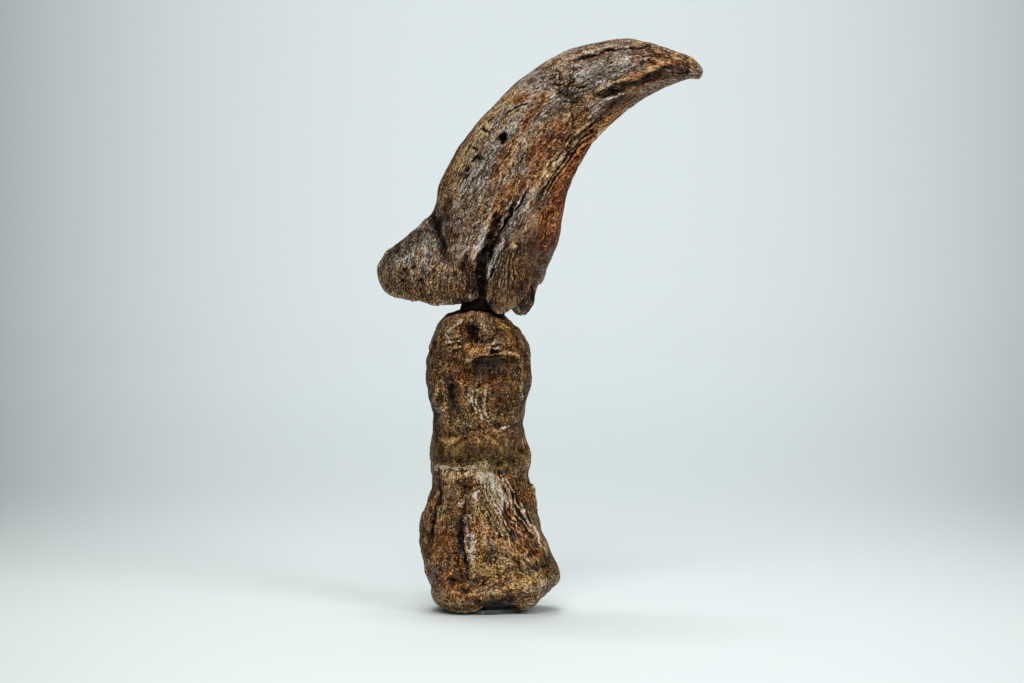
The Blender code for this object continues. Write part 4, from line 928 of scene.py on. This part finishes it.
class Material:
    """Short calls for building one material's nodes. A socket or a plain number can feed any input."""

    def __init__(self, name):
        self.material = bpy.data.materials.new(name)
        self.material.use_nodes = True
        self.tree = self.material.node_tree
        self.shader = self.tree.nodes["Principled BSDF"]

    def feed(self, socket, value):
        if isinstance(value, bpy.types.NodeSocket):
            self.tree.links.new(value, socket)
        else:
            socket.default_value = value

    def node(self, kind, inputs=(), **settings):
        made = self.tree.nodes.new(kind)
        for key, value in settings.items():
            setattr(made, key, value)
        for key, value in dict(inputs).items():
            self.feed(made.inputs[key], value)
        return made

    def attribute(self, name, output="Fac"):
        return self.node("ShaderNodeAttribute", attribute_name=name).outputs[output]

    def millimetres(self):
        place = self.node("ShaderNodeTexCoord").outputs["Object"]
        return self.scaled(place, (1 / MM,) * 3)

    def vectors(self, operation, *inputs):
        return self.node("ShaderNodeVectorMath", enumerate(inputs), operation=operation).outputs

    def scaled(self, vector, factors):
        return self.vectors("MULTIPLY", vector, factors)[0]

    def noise(self, vector, wavelength, detail=4.0, roughness=0.6, distortion=0.0):
        inputs = {
            "Vector": vector,
            "Scale": 1 / wavelength,
            "Detail": detail,
            "Roughness": roughness,
            "Distortion": distortion,
        }
        return self.node("ShaderNodeTexNoise", inputs).outputs["Fac"]

    def spread_noise(self, vector, wavelength, detail=4.0):
        """Noise from -0.5 to 0.5 that uses the whole range."""
        return self.window(self.noise(vector, wavelength, detail, 0.65, 0.2), 0.3, 0.7, -0.5, 0.5)

    def bent(self, vector, place, wavelength, reach):
        """A vector moved about by up to a reach, so that what is drawn on it wanders."""
        inputs = {"Vector": place, "Scale": 1 / wavelength, "Detail": 2.0}
        wander = self.node("ShaderNodeTexNoise", inputs).outputs["Color"]
        wander = self.vectors("MULTIPLY_ADD", wander, (2 * reach,) * 3, (-reach,) * 3)[0]
        return self.vectors("ADD", vector, wander)[0]

    def voronoi(self, vector, wavelength):
        """How far the nearest cell's middle is, and that cell's three random values."""
        made = self.node("ShaderNodeTexVoronoi", {"Vector": vector, "Scale": 1 / wavelength}).outputs
        return made["Distance"], self.node("ShaderNodeSeparateColor", {0: made["Color"]}).outputs

    def cells(self, vector, wavelength):
        """Small crystals, each with three values of its own from -0.5 to 0.5, and the gaps between them."""
        distance, parts = self.voronoi(vector, wavelength)
        values = [self.maths("SUBTRACT", part, 0.5) for part in parts]
        return *values, self.window(distance, 0.35, 0.7)

    def lines(self, vector, wavelength, width):
        """A net of thin lines, 1 in a line's middle, where noise passes through its middle value."""
        away = self.maths("SUBTRACT", self.noise(vector, wavelength, 2.0, 0.6, 0.3), 0.5)
        return self.window(self.maths("ABSOLUTE", away), 0.0, width, 1.0, 0.0)

    def pores(self, vector, wavelength):
        """Round holes of several sizes, 1 in a hole, and the rims round them."""
        distance, parts = self.voronoi(vector, wavelength)
        reach = self.total((distance, 1.0), (parts[0], 0.5))
        return self.window(reach, 0.18, 0.34, 1.0, 0.0), self.window(reach, 0.34, 0.5, 1.0, 0.0)

    def maths(self, operation, first, second=0.0, clamp=False):
        inputs = {0: first, 1: second}
        return self.node("ShaderNodeMath", inputs, operation=operation, use_clamp=clamp).outputs[0]

    def total(self, *terms):
        """The sum of each value times its weight."""
        summed = 0.0
        for value, weight in terms:
            inputs = {0: value, 1: weight, 2: summed}
            summed = self.node("ShaderNodeMath", inputs, operation="MULTIPLY_ADD").outputs[0]
        return summed

    def window(self, value, low, high, start=0.0, end=1.0):
        inputs = {"Value": value, "From Min": low, "From Max": high, "To Min": start, "To Max": end}
        return self.node("ShaderNodeMapRange", inputs, interpolation_type="SMOOTHSTEP").outputs[0]

    def ramp(self, value, stops):
        made = self.node("ShaderNodeValToRGB", {"Fac": value})
        elements = made.color_ramp.elements
        while len(elements) < len(stops):
            elements.new(0.5)
        for element, (place, colour) in zip(elements, stops):
            element.position = place
            element.color = (*linear(colour), 1)
        return made.outputs["Color"]

    def mix(self, share, first, second, blend="MIX"):
        """Mixes two colours, each a socket or linear values."""
        made = self.node("ShaderNodeMix", data_type="RGBA", blend_type=blend)
        self.feed(made.inputs[0], share)
        colours = [socket for socket in made.inputs if socket.type == "RGBA"]
        for socket, colour in zip(colours, (first, second)):
            self.feed(socket, colour)
        return [socket for socket in made.outputs if socket.type == "RGBA"][0]

    def bump(self, height, distance, strength=1.0, normal=None):
        inputs = {"Height": height, "Distance": distance * MM, "Strength": strength}
        if normal is not None:
            inputs["Normal"] = normal
        return self.node("ShaderNodeBump", inputs).outputs["Normal"]

    def finish(self, colour, roughness, normal=None, **constants):
        self.feed(self.shader.inputs["Base Color"], colour)
        self.feed(self.shader.inputs["Roughness"], roughness)
        if normal is not None:
            self.feed(self.shader.inputs["Normal"], normal)
        for name, value in constants.items():
            self.shader.inputs[name.replace("_", " ")].default_value = value
        return self.material


def linear(colour):
    """Linear light values of a colour given as 0 to 255 display values."""
    return tuple(((c / 255 + 0.055) / 1.055) ** 2.4 if c > 10 else c / 255 / 12.92 for c in colour)


# Colours as display values, from the darkest hollows to the lightest grains.
CLAW_TONES = ((0.0, (12, 5, 0)), (0.25, (67, 43, 24)), (0.5, (138, 115, 89)), (0.75, (206, 190, 164)),
              (1.0, (245, 238, 222)))
TOE_BONE_TONES = ((0.0, (12, 5, 0)), (0.25, (69, 44, 16)), (0.5, (133, 101, 58)), (0.75, (203, 173, 127)),
                  (1.0, (240, 224, 190)))

# A bone's usual tone, how much its streaks are drawn out along the grain (1 is not at all), the share of long
# crystals where it isn't fibrous, and the strength of its blotches.
Look = namedtuple("Look", "middle pull grained mottled")
CLAW_LOOK = Look(0.535, 0.18, 0.8, 1.0)
TOE_BONE_LOOK = Look(0.43, 0.5, 0.15, 0.5)

# What each kind of patch multiplies the colour by, in linear light, how much of the usual mottling that takes
# the place of, how much lighter it makes the tone, and how broken up its outline is.
Tint = namedtuple("Tint", "colour share lift broken", defaults=(1.0,))
TINTS = {
    # light, shade and dark are partly painted light and shade (sheen, highlights, shade in hollows and
    # where a surface turns away) and partly the bone's own lighter and darker tone; grey is partly a painted
    # sheen.
    "light": Tint((1.0, 1.0, 1.0), 0.2, 0.14),
    "shade": Tint((1.05, 0.95, 0.84), 0.3, -0.15),
    "grey": Tint((0.9, 0.98, 1.14), 0.9, 0.02),
    "rust": Tint((1.13, 0.5, 0.18), 0.95, -0.02),
    "amber": Tint((1.2, 0.74, 0.4), 0.9, -0.01),
    "ochre": Tint((1.05, 0.86, 0.5), 0.8, 0.03),
    "olive": Tint((0.84, 0.92, 0.72), 0.8, -0.04),
    "pale": Tint((0.94, 1.02, 1.3), 0.9, 0.34, 1.6),
    "dark": Tint((1.0, 0.88, 0.72), 0.5, -0.34, 0.5),
}
WARM, COOL = (1.12, 0.87, 0.6), (0.9, 0.98, 1.16)  # the two ends of the mottling
REDDER, BLUER = (1.18, 0.96, 0.76), (0.86, 1.01, 1.24)  # the ends of each crystal's own colour
GOLDEN = (1.15, 0.98, 0.66)  # the specks
GREENER, PURPLER = (0.94, 1.07, 0.92), (1.05, 0.93, 1.07)


def bone_texture(make, look):
    """The crystals, fibres, bands, cracks and holes that a bone's relief and colour share."""
    texture = SimpleNamespace(place=make.millimetres())
    place = texture.place
    grain = make.bent(make.attribute("grain", "Vector"), place, 1.8, 0.25)
    needle_grain = make.bent(make.scaled(grain, (0.3, 1.0, 1.0)), place, 0.5, 0.06)
    texture.grain = make.scaled(grain, (look.pull, 1.0, 1.0))
    texture.grains, texture.reds, texture.greens, texture.gaps = make.cells(place, 0.2)
    texture.needles, texture.needle_reds, texture.needle_greens, _ = make.cells(needle_grain, 0.17)
    texture.fine = make.spread_noise(make.scaled(grain, (0.5, 1.0, 1.0)), 0.14, 0.0)
    texture.grit = make.spread_noise(place, 0.5, 2.0)
    texture.fibres = make.spread_noise(make.scaled(grain, (0.2, 1.0, 1.0)), 0.2, 1.0)
    texture.streaks = make.spread_noise(texture.grain, 0.5, 3.0)
    texture.bands = make.spread_noise(texture.grain, 1.6, 4.0)
    texture.cracks = make.lines(make.scaled(grain, (0.3, 1.0, 1.0)), 0.9, 0.014)
    pitted = make.window(make.attribute("granular"), 0.0, 1.0, 0.3, 1.0)
    holes, rims = make.pores(place, 0.8)
    texture.holes = make.maths("MULTIPLY", holes, pitted)
    texture.rims = make.maths("MULTIPLY", rims, pitted)
    texture.specks = make.maths("MULTIPLY", make.pores(place, 0.55)[1], pitted)
    return texture


def bone_relief(make, texture, look):
    """The finest relief: crystals, which are needles where the bone is fibrous, with cracks and holes."""
    drawn = make.window(make.attribute("fibrous"), 0.0, 1.0, look.grained, 1.0)
    relief = make.total(
        (texture.grains, make.window(drawn, 0.0, 1.0, 0.8, 0.2)),
        (texture.needles, make.window(drawn, 0.0, 1.0, 0.0, 0.75)),
        (texture.gaps, -0.25),
        (texture.fine, 0.45),
        (texture.grit, 0.03),
        (texture.fibres, make.window(drawn, 0.0, 1.0, 0.06, 0.24)),
        (texture.streaks, 0.12 * look.mottled),
        (texture.cracks, -0.5),
        (texture.holes, -0.45),
        (texture.rims, 0.1),
    )
    return make.maths("MULTIPLY", relief, make.window(make.attribute("smooth"), 0.0, 1.0, 1.0, 0.35))


def with_patches(make, texture, kinds, tone, tint):
    """The tone and tint with every kind of patch on them, their outlines broken up by the texture."""
    blots = make.spread_noise(texture.place, 1.1, 4.0)
    breaks = make.total((blots, 0.3), (texture.fibres, 0.2), (texture.grains, 0.3), (texture.streaks, 0.5))
    for kind in kinds:
        patch, weight = TINTS[kind], make.attribute(kind)
        shaken = make.total((weight, 1.0), (breaks, make.window(weight, 0.02, 0.3, 0.0, patch.broken)))
        weight = make.window(shaken, 0.15, 0.85)
        tint = make.mix(make.maths("MULTIPLY", weight, patch.share), tint, (*patch.colour, 1))
        tone = make.total((tone, 1.0), (weight, patch.lift))
    return tone, tint


def crystal_tint(make, texture, tint):
    """The tint with each crystal's own colour and the golden specks."""
    own_red = make.total((texture.reds, 0.6), (texture.needle_reds, 0.6), (0.5, 1.0))
    own_green = make.total((texture.greens, 0.6), (texture.needle_greens, 0.6), (0.5, 1.0))
    tint = make.mix(1.0, tint, make.mix(own_red, (*BLUER, 1), (*REDDER, 1)), "MULTIPLY")
    tint = make.mix(1.0, tint, make.mix(own_green, (*PURPLER, 1), (*GREENER, 1)), "MULTIPLY")
    return make.mix(make.maths("MULTIPLY", texture.specks, 0.5), tint, (*GOLDEN, 1))


def bone_material(name, tones, kinds, look):
    """Brown mineral bone with a worn coat of varnish."""
    make = Material(name)
    texture = bone_texture(make, look)
    relief = bone_relief(make, texture, look)
    fine_cavity, cavity, hollow = (make.attribute(key) for key in CAVITY_SCALES)
    # The tone follows the relief, darker in its holes, cracks and gaps and lighter on its grains: partly
    # the grains' own colour, partly painted shade. The cavity terms add painted shade in the hollows.
    tone = make.total((relief, 0.66), (texture.bands, 0.2 * look.mottled), (hollow, -0.03))
    tone = make.total((tone, 1.0), (fine_cavity, -0.04), (cavity, -0.04))
    tone = make.total((tone, 1.0), (texture.specks, 0.18 * look.mottled), (look.middle, 1.0))
    hue = make.noise(texture.grain, 2.2, 5.0, 0.65, 0.5)
    hue = make.total((hue, 1.0), (texture.reds, 0.1), (texture.streaks, 0.12), (0.01, 1.0))
    tint = make.mix(make.window(hue, 0.38, 0.62), (*WARM, 1), (*COOL, 1))
    tone, tint = with_patches(make, texture, kinds, tone, tint)
    # Painted shade: the deeper hollows and grooves are darkened in the colour.
    painted_hollow_shade = make.window(make.total((fine_cavity, 0.8), (cavity, 0.8)), 1.2, 3.6, 0.0, -0.3)
    shade = make.ramp(make.total((tone, 1.0), (painted_hollow_shade, 1.0)), tones)
    colour = make.mix(1.0, shade, crystal_tint(make, texture, tint), "MULTIPLY")

    varnish = make.window(make.spread_noise(texture.place, 1.2, 4.0), -0.3, 0.3, 0.0, 0.62)
    make.feed(make.shader.inputs["Coat Weight"], varnish)
    make.feed(make.shader.inputs["Coat Normal"], make.bump(relief, 0.09))
    return make.finish(colour, 0.6, make.bump(relief, 0.22), Coat_Roughness=0.17, Specular_IOR_Level=0.04)


def glue_material():
    make = Material("glue")
    place = make.millimetres()
    tone = make.noise(place, 1.2, 5.0, 0.7)
    # Near-black brown: partly the glue's own colour, partly painted shade for the joint under the claw.
    colour = make.ramp(tone, ((0.35, (8, 5, 3)), (0.55, (24, 15, 9)), (0.7, (70, 48, 28))))
    normal = make.bump(make.noise(place, 0.4, 3.0), 0.2)
    return make.finish(colour, 0.7, normal, Specular_IOR_Level=0.05)


def putty_material():
    make = Material("putty")
    place = make.millimetres()
    tone = make.noise(place, 1.4, 5.0, 0.7)
    # Dark teal-grey: the putty's own colour, darkened as a painted shadow under the foot.
    colour = make.ramp(tone, ((0.3, (30, 38, 34)), (0.5, (58, 70, 64)), (0.7, (104, 118, 110))))
    normal = make.bump(make.noise(place, 0.5, 3.0), 0.1)
    return make.finish(colour, make.window(tone, 0.3, 0.7, 0.4, 0.65), normal)


def dress(node_name, mesh, material):
    """Puts a skin in place of its solid."""
    mesh.transform(Matrix.Scale(MM, 4))
    mesh.materials.clear()
    mesh.materials.append(material)
    mesh.shade_smooth()
    piece = placed(mesh.name, mesh)
    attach(piece, "root")
    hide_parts(node_name)
    return piece


# The round studio bowl that the object stands in: the radius of its floor, that of its curve, and heights
# of its wall.
BOWL_FLOOR, BOWL_CURVE, BOWL_WALL = 560.0, 400.0, (600.0, 900.0)
BOWL_RINGS = (0.1, 0.25, 0.5, 0.75)  # of the floor, as shares of its radius
BOWL_AROUND, BOWL_STEPS = 128, 16
# The paper's colours near the object, behind it and further back. The darker colour behind the
# object, and the darkening towards both sides of the view, are painted shade on the backdrop.
PAPER_NEAR, PAPER_FAR, PAPER_WALL = (215, 222, 222), (200, 209, 209), (219, 227, 228)
PAPER_CHANGE = (-30.0, 190.0)  # how far behind the object the floor turns into the darker background
WALL_CHANGE = (190.0, 640.0)  # and how far behind it gets lighter again
PAPER_MIDDLE = 0.0123  # where the background is lightest, as a slope to the side of the view
PAPER_SIDE = 0.193  # how far to the side, as a slope, it would be black
PAPER_FALL = 2.6
NEAR_DARKER, FAR_DARKER = 0.29, 1.0  # the share of that on the near floor and on the background
PAPER_DARKEST = 0.6  # the most that it loses


def bowl_profile():
    profile = [(0.0, 0.0)] + [(BOWL_FLOOR * share, 0.0) for share in BOWL_RINGS]
    for step in range(BOWL_STEPS + 1):
        angle = math.pi / 2 * step / BOWL_STEPS
        profile.append((BOWL_FLOOR + BOWL_CURVE * math.sin(angle), BOWL_CURVE * (1 - math.cos(angle))))
    return profile + [(BOWL_FLOOR + BOWL_CURVE, height) for height in BOWL_WALL]


def make_bowl():
    shape = bmesh.new()
    points = [shape.verts.new(Vector((radius, 0, height)) * MM) for radius, height in bowl_profile()]
    geometry = points + [shape.edges.new(pair) for pair in zip(points[:-1], points[1:])]
    around = {"cent": (0, 0, 0), "axis": (0, 0, 1), "angle": math.tau, "steps": BOWL_AROUND}
    bmesh.ops.spin(shape, geom=geometry, use_merge=True, **around)
    bmesh.ops.remove_doubles(shape, verts=shape.verts, dist=TINY)
    bmesh.ops.recalc_face_normals(shape, faces=shape.faces)
    mesh = bpy.data.meshes.new("studio_bowl")
    shape.to_mesh(mesh)
    shape.free()
    mesh.materials.append(bowl_material())
    mesh.shade_smooth()
    placed("studio_bowl", mesh)


def bowl_material():
    """Pale paper with painted shade: a lighter floor, and a background that darkens to both sides of the
    photograph's view.
    """
    make = Material("studio_paper")
    place = make.millimetres()
    right, _, back = camera_axes()
    aside = make.vectors("DOT_PRODUCT", place, right)["Value"]
    behind = make.vectors("DOT_PRODUCT", place, -back)["Value"]
    far = make.window(behind, *PAPER_CHANGE)
    depth = make.maths("MAXIMUM", make.maths("ADD", behind, CAMERA_DISTANCE), CAMERA_DISTANCE / 2)
    slope = make.maths("SUBTRACT", make.maths("DIVIDE", aside, depth), PAPER_MIDDLE)
    slope = make.maths("DIVIDE", make.maths("ABSOLUTE", slope), PAPER_SIDE)
    most = make.total((far, FAR_DARKER - NEAR_DARKER), (NEAR_DARKER, 1.0))
    darker = make.maths("MULTIPLY", make.maths("POWER", slope, PAPER_FALL), most)
    share = make.maths("SUBTRACT", 1.0, make.maths("MINIMUM", darker, PAPER_DARKEST))
    near, background, wall = ((*linear(colour), 1) for colour in (PAPER_NEAR, PAPER_FAR, PAPER_WALL))
    paper = make.mix(make.window(behind, *WALL_CHANGE), make.mix(far, near, background), wall)
    colour = make.node("ShaderNodeVectorMath", {0: paper, 3: share}, operation="SCALE").outputs[0]
    return make.finish(colour, 0.9, Specular_IOR_Level=0.1)


def camera_axes():
    """Unit directions to the right of the view, up in it, and back towards the camera."""
    turn, rise = CAMERA_TURN, CAMERA_RISE
    back = Vector((math.sin(turn) * math.cos(rise), -math.cos(turn) * math.cos(rise), math.sin(rise)))
    right = Vector((math.cos(turn), math.sin(turn), 0))
    return right, back.cross(right), back


def make_camera():
    right, up, back = camera_axes()
    aside = (IMAGE_WIDTH / 2 - BASE_PIXEL[0]) * MM_PER_PIXEL
    above = (BASE_PIXEL[1] - IMAGE_HEIGHT / 2) * MM_PER_PIXEL / math.cos(CAMERA_RISE)
    place = right * aside + Vector((0, 0, above)) + back * CAMERA_DISTANCE
    data = bpy.data.cameras.new("camera")
    data.sensor_width = SENSOR_WIDTH
    data.lens = CAMERA_DISTANCE / MM_PER_PIXEL * SENSOR_WIDTH / IMAGE_WIDTH
    data.clip_start, data.clip_end = CAMERA_CLIP
    camera = placed("camera", data)
    turn = Matrix((right, up, back)).transposed().to_4x4()
    camera.matrix_world = Matrix.Translation(place * MM) @ turn
    bpy.context.scene.camera = camera


# Soft lights: how far right, up and back towards the camera each hangs, its size, power and colour.
Light = namedtuple("Light", "right up back size power colour")
LIGHTS = {
    "key": Light(-50, 440, 500, 400, 2.7, (1.0, 0.98, 0.95)),
    "fill": Light(380, 280, 420, 340, 1.8, (0.95, 0.98, 1.0)),
    "top": Light(-40, 730, -110, 280, 2.5, (1.0, 1.0, 1.0)),
}
BACKDROP_LIGHT = Light(0, 640, -420, 460, 2.2, (1.0, 1.0, 1.0))
AIM = (0.0, 0.0, 50.0)
BACKDROP_AIM_UP, BACKDROP_AIM_BACK = 260.0, -860.0
SKY = (0.95, 0.98, 0.98)
SKY_STRENGTH = 0.34


def hang_light(name, light, aim):
    right, _, back = camera_axes()
    data = bpy.data.lights.new(name, "AREA")
    data.shape = "DISK"
    data.size = light.size * MM
    data.energy = light.power
    data.color = light.colour
    lamp = placed(name, data)
    place = right * light.right + Vector((0, 0, AIM[2] + light.up)) + back * light.back
    facing = (place - aim).to_track_quat("Z", "Y").to_matrix().to_4x4()
    lamp.matrix_world = Matrix.Translation(place * MM) @ facing
    lamp.visible_camera = False


def make_lights():
    for name, light in LIGHTS.items():
        hang_light(name, light, Vector(AIM))
    backdrop = camera_axes()[2] * BACKDROP_AIM_BACK
    hang_light("backdrop", BACKDROP_LIGHT, Vector((backdrop.x, backdrop.y, BACKDROP_AIM_UP)))
    world = bpy.data.worlds.new("studio")
    world.use_nodes = True
    sky = world.node_tree.nodes["Background"]
    sky.inputs["Color"].default_value = (*SKY, 1)
    sky.inputs["Strength"].default_value = SKY_STRENGTH
    bpy.context.scene.world = world


def main():
    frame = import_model()
    make_camera()
    nodes = frame["nodes"]
    claw = bone_material("claw_bone", CLAW_TONES, CLAW_PATCHES, CLAW_LOOK)
    toe_bone = bone_material("toe_bone", TOE_BONE_TONES, TOE_BONE_PATCHES, TOE_BONE_LOOK)
    dress("claw", make_claw_skin(nodes["claw"]), claw)
    dress("toe_bone", make_toe_bone_skin(nodes["toe_bone"]), toe_bone)
    dress("joint_filler", make_filler_skin(nodes["joint_filler"]), glue_material())
    dress("base_putty", make_putty_skin(nodes["base_putty"]), putty_material())
    make_bowl()
    make_lights()
    bpy.context.scene.view_settings.view_transform = "Standard"


main()
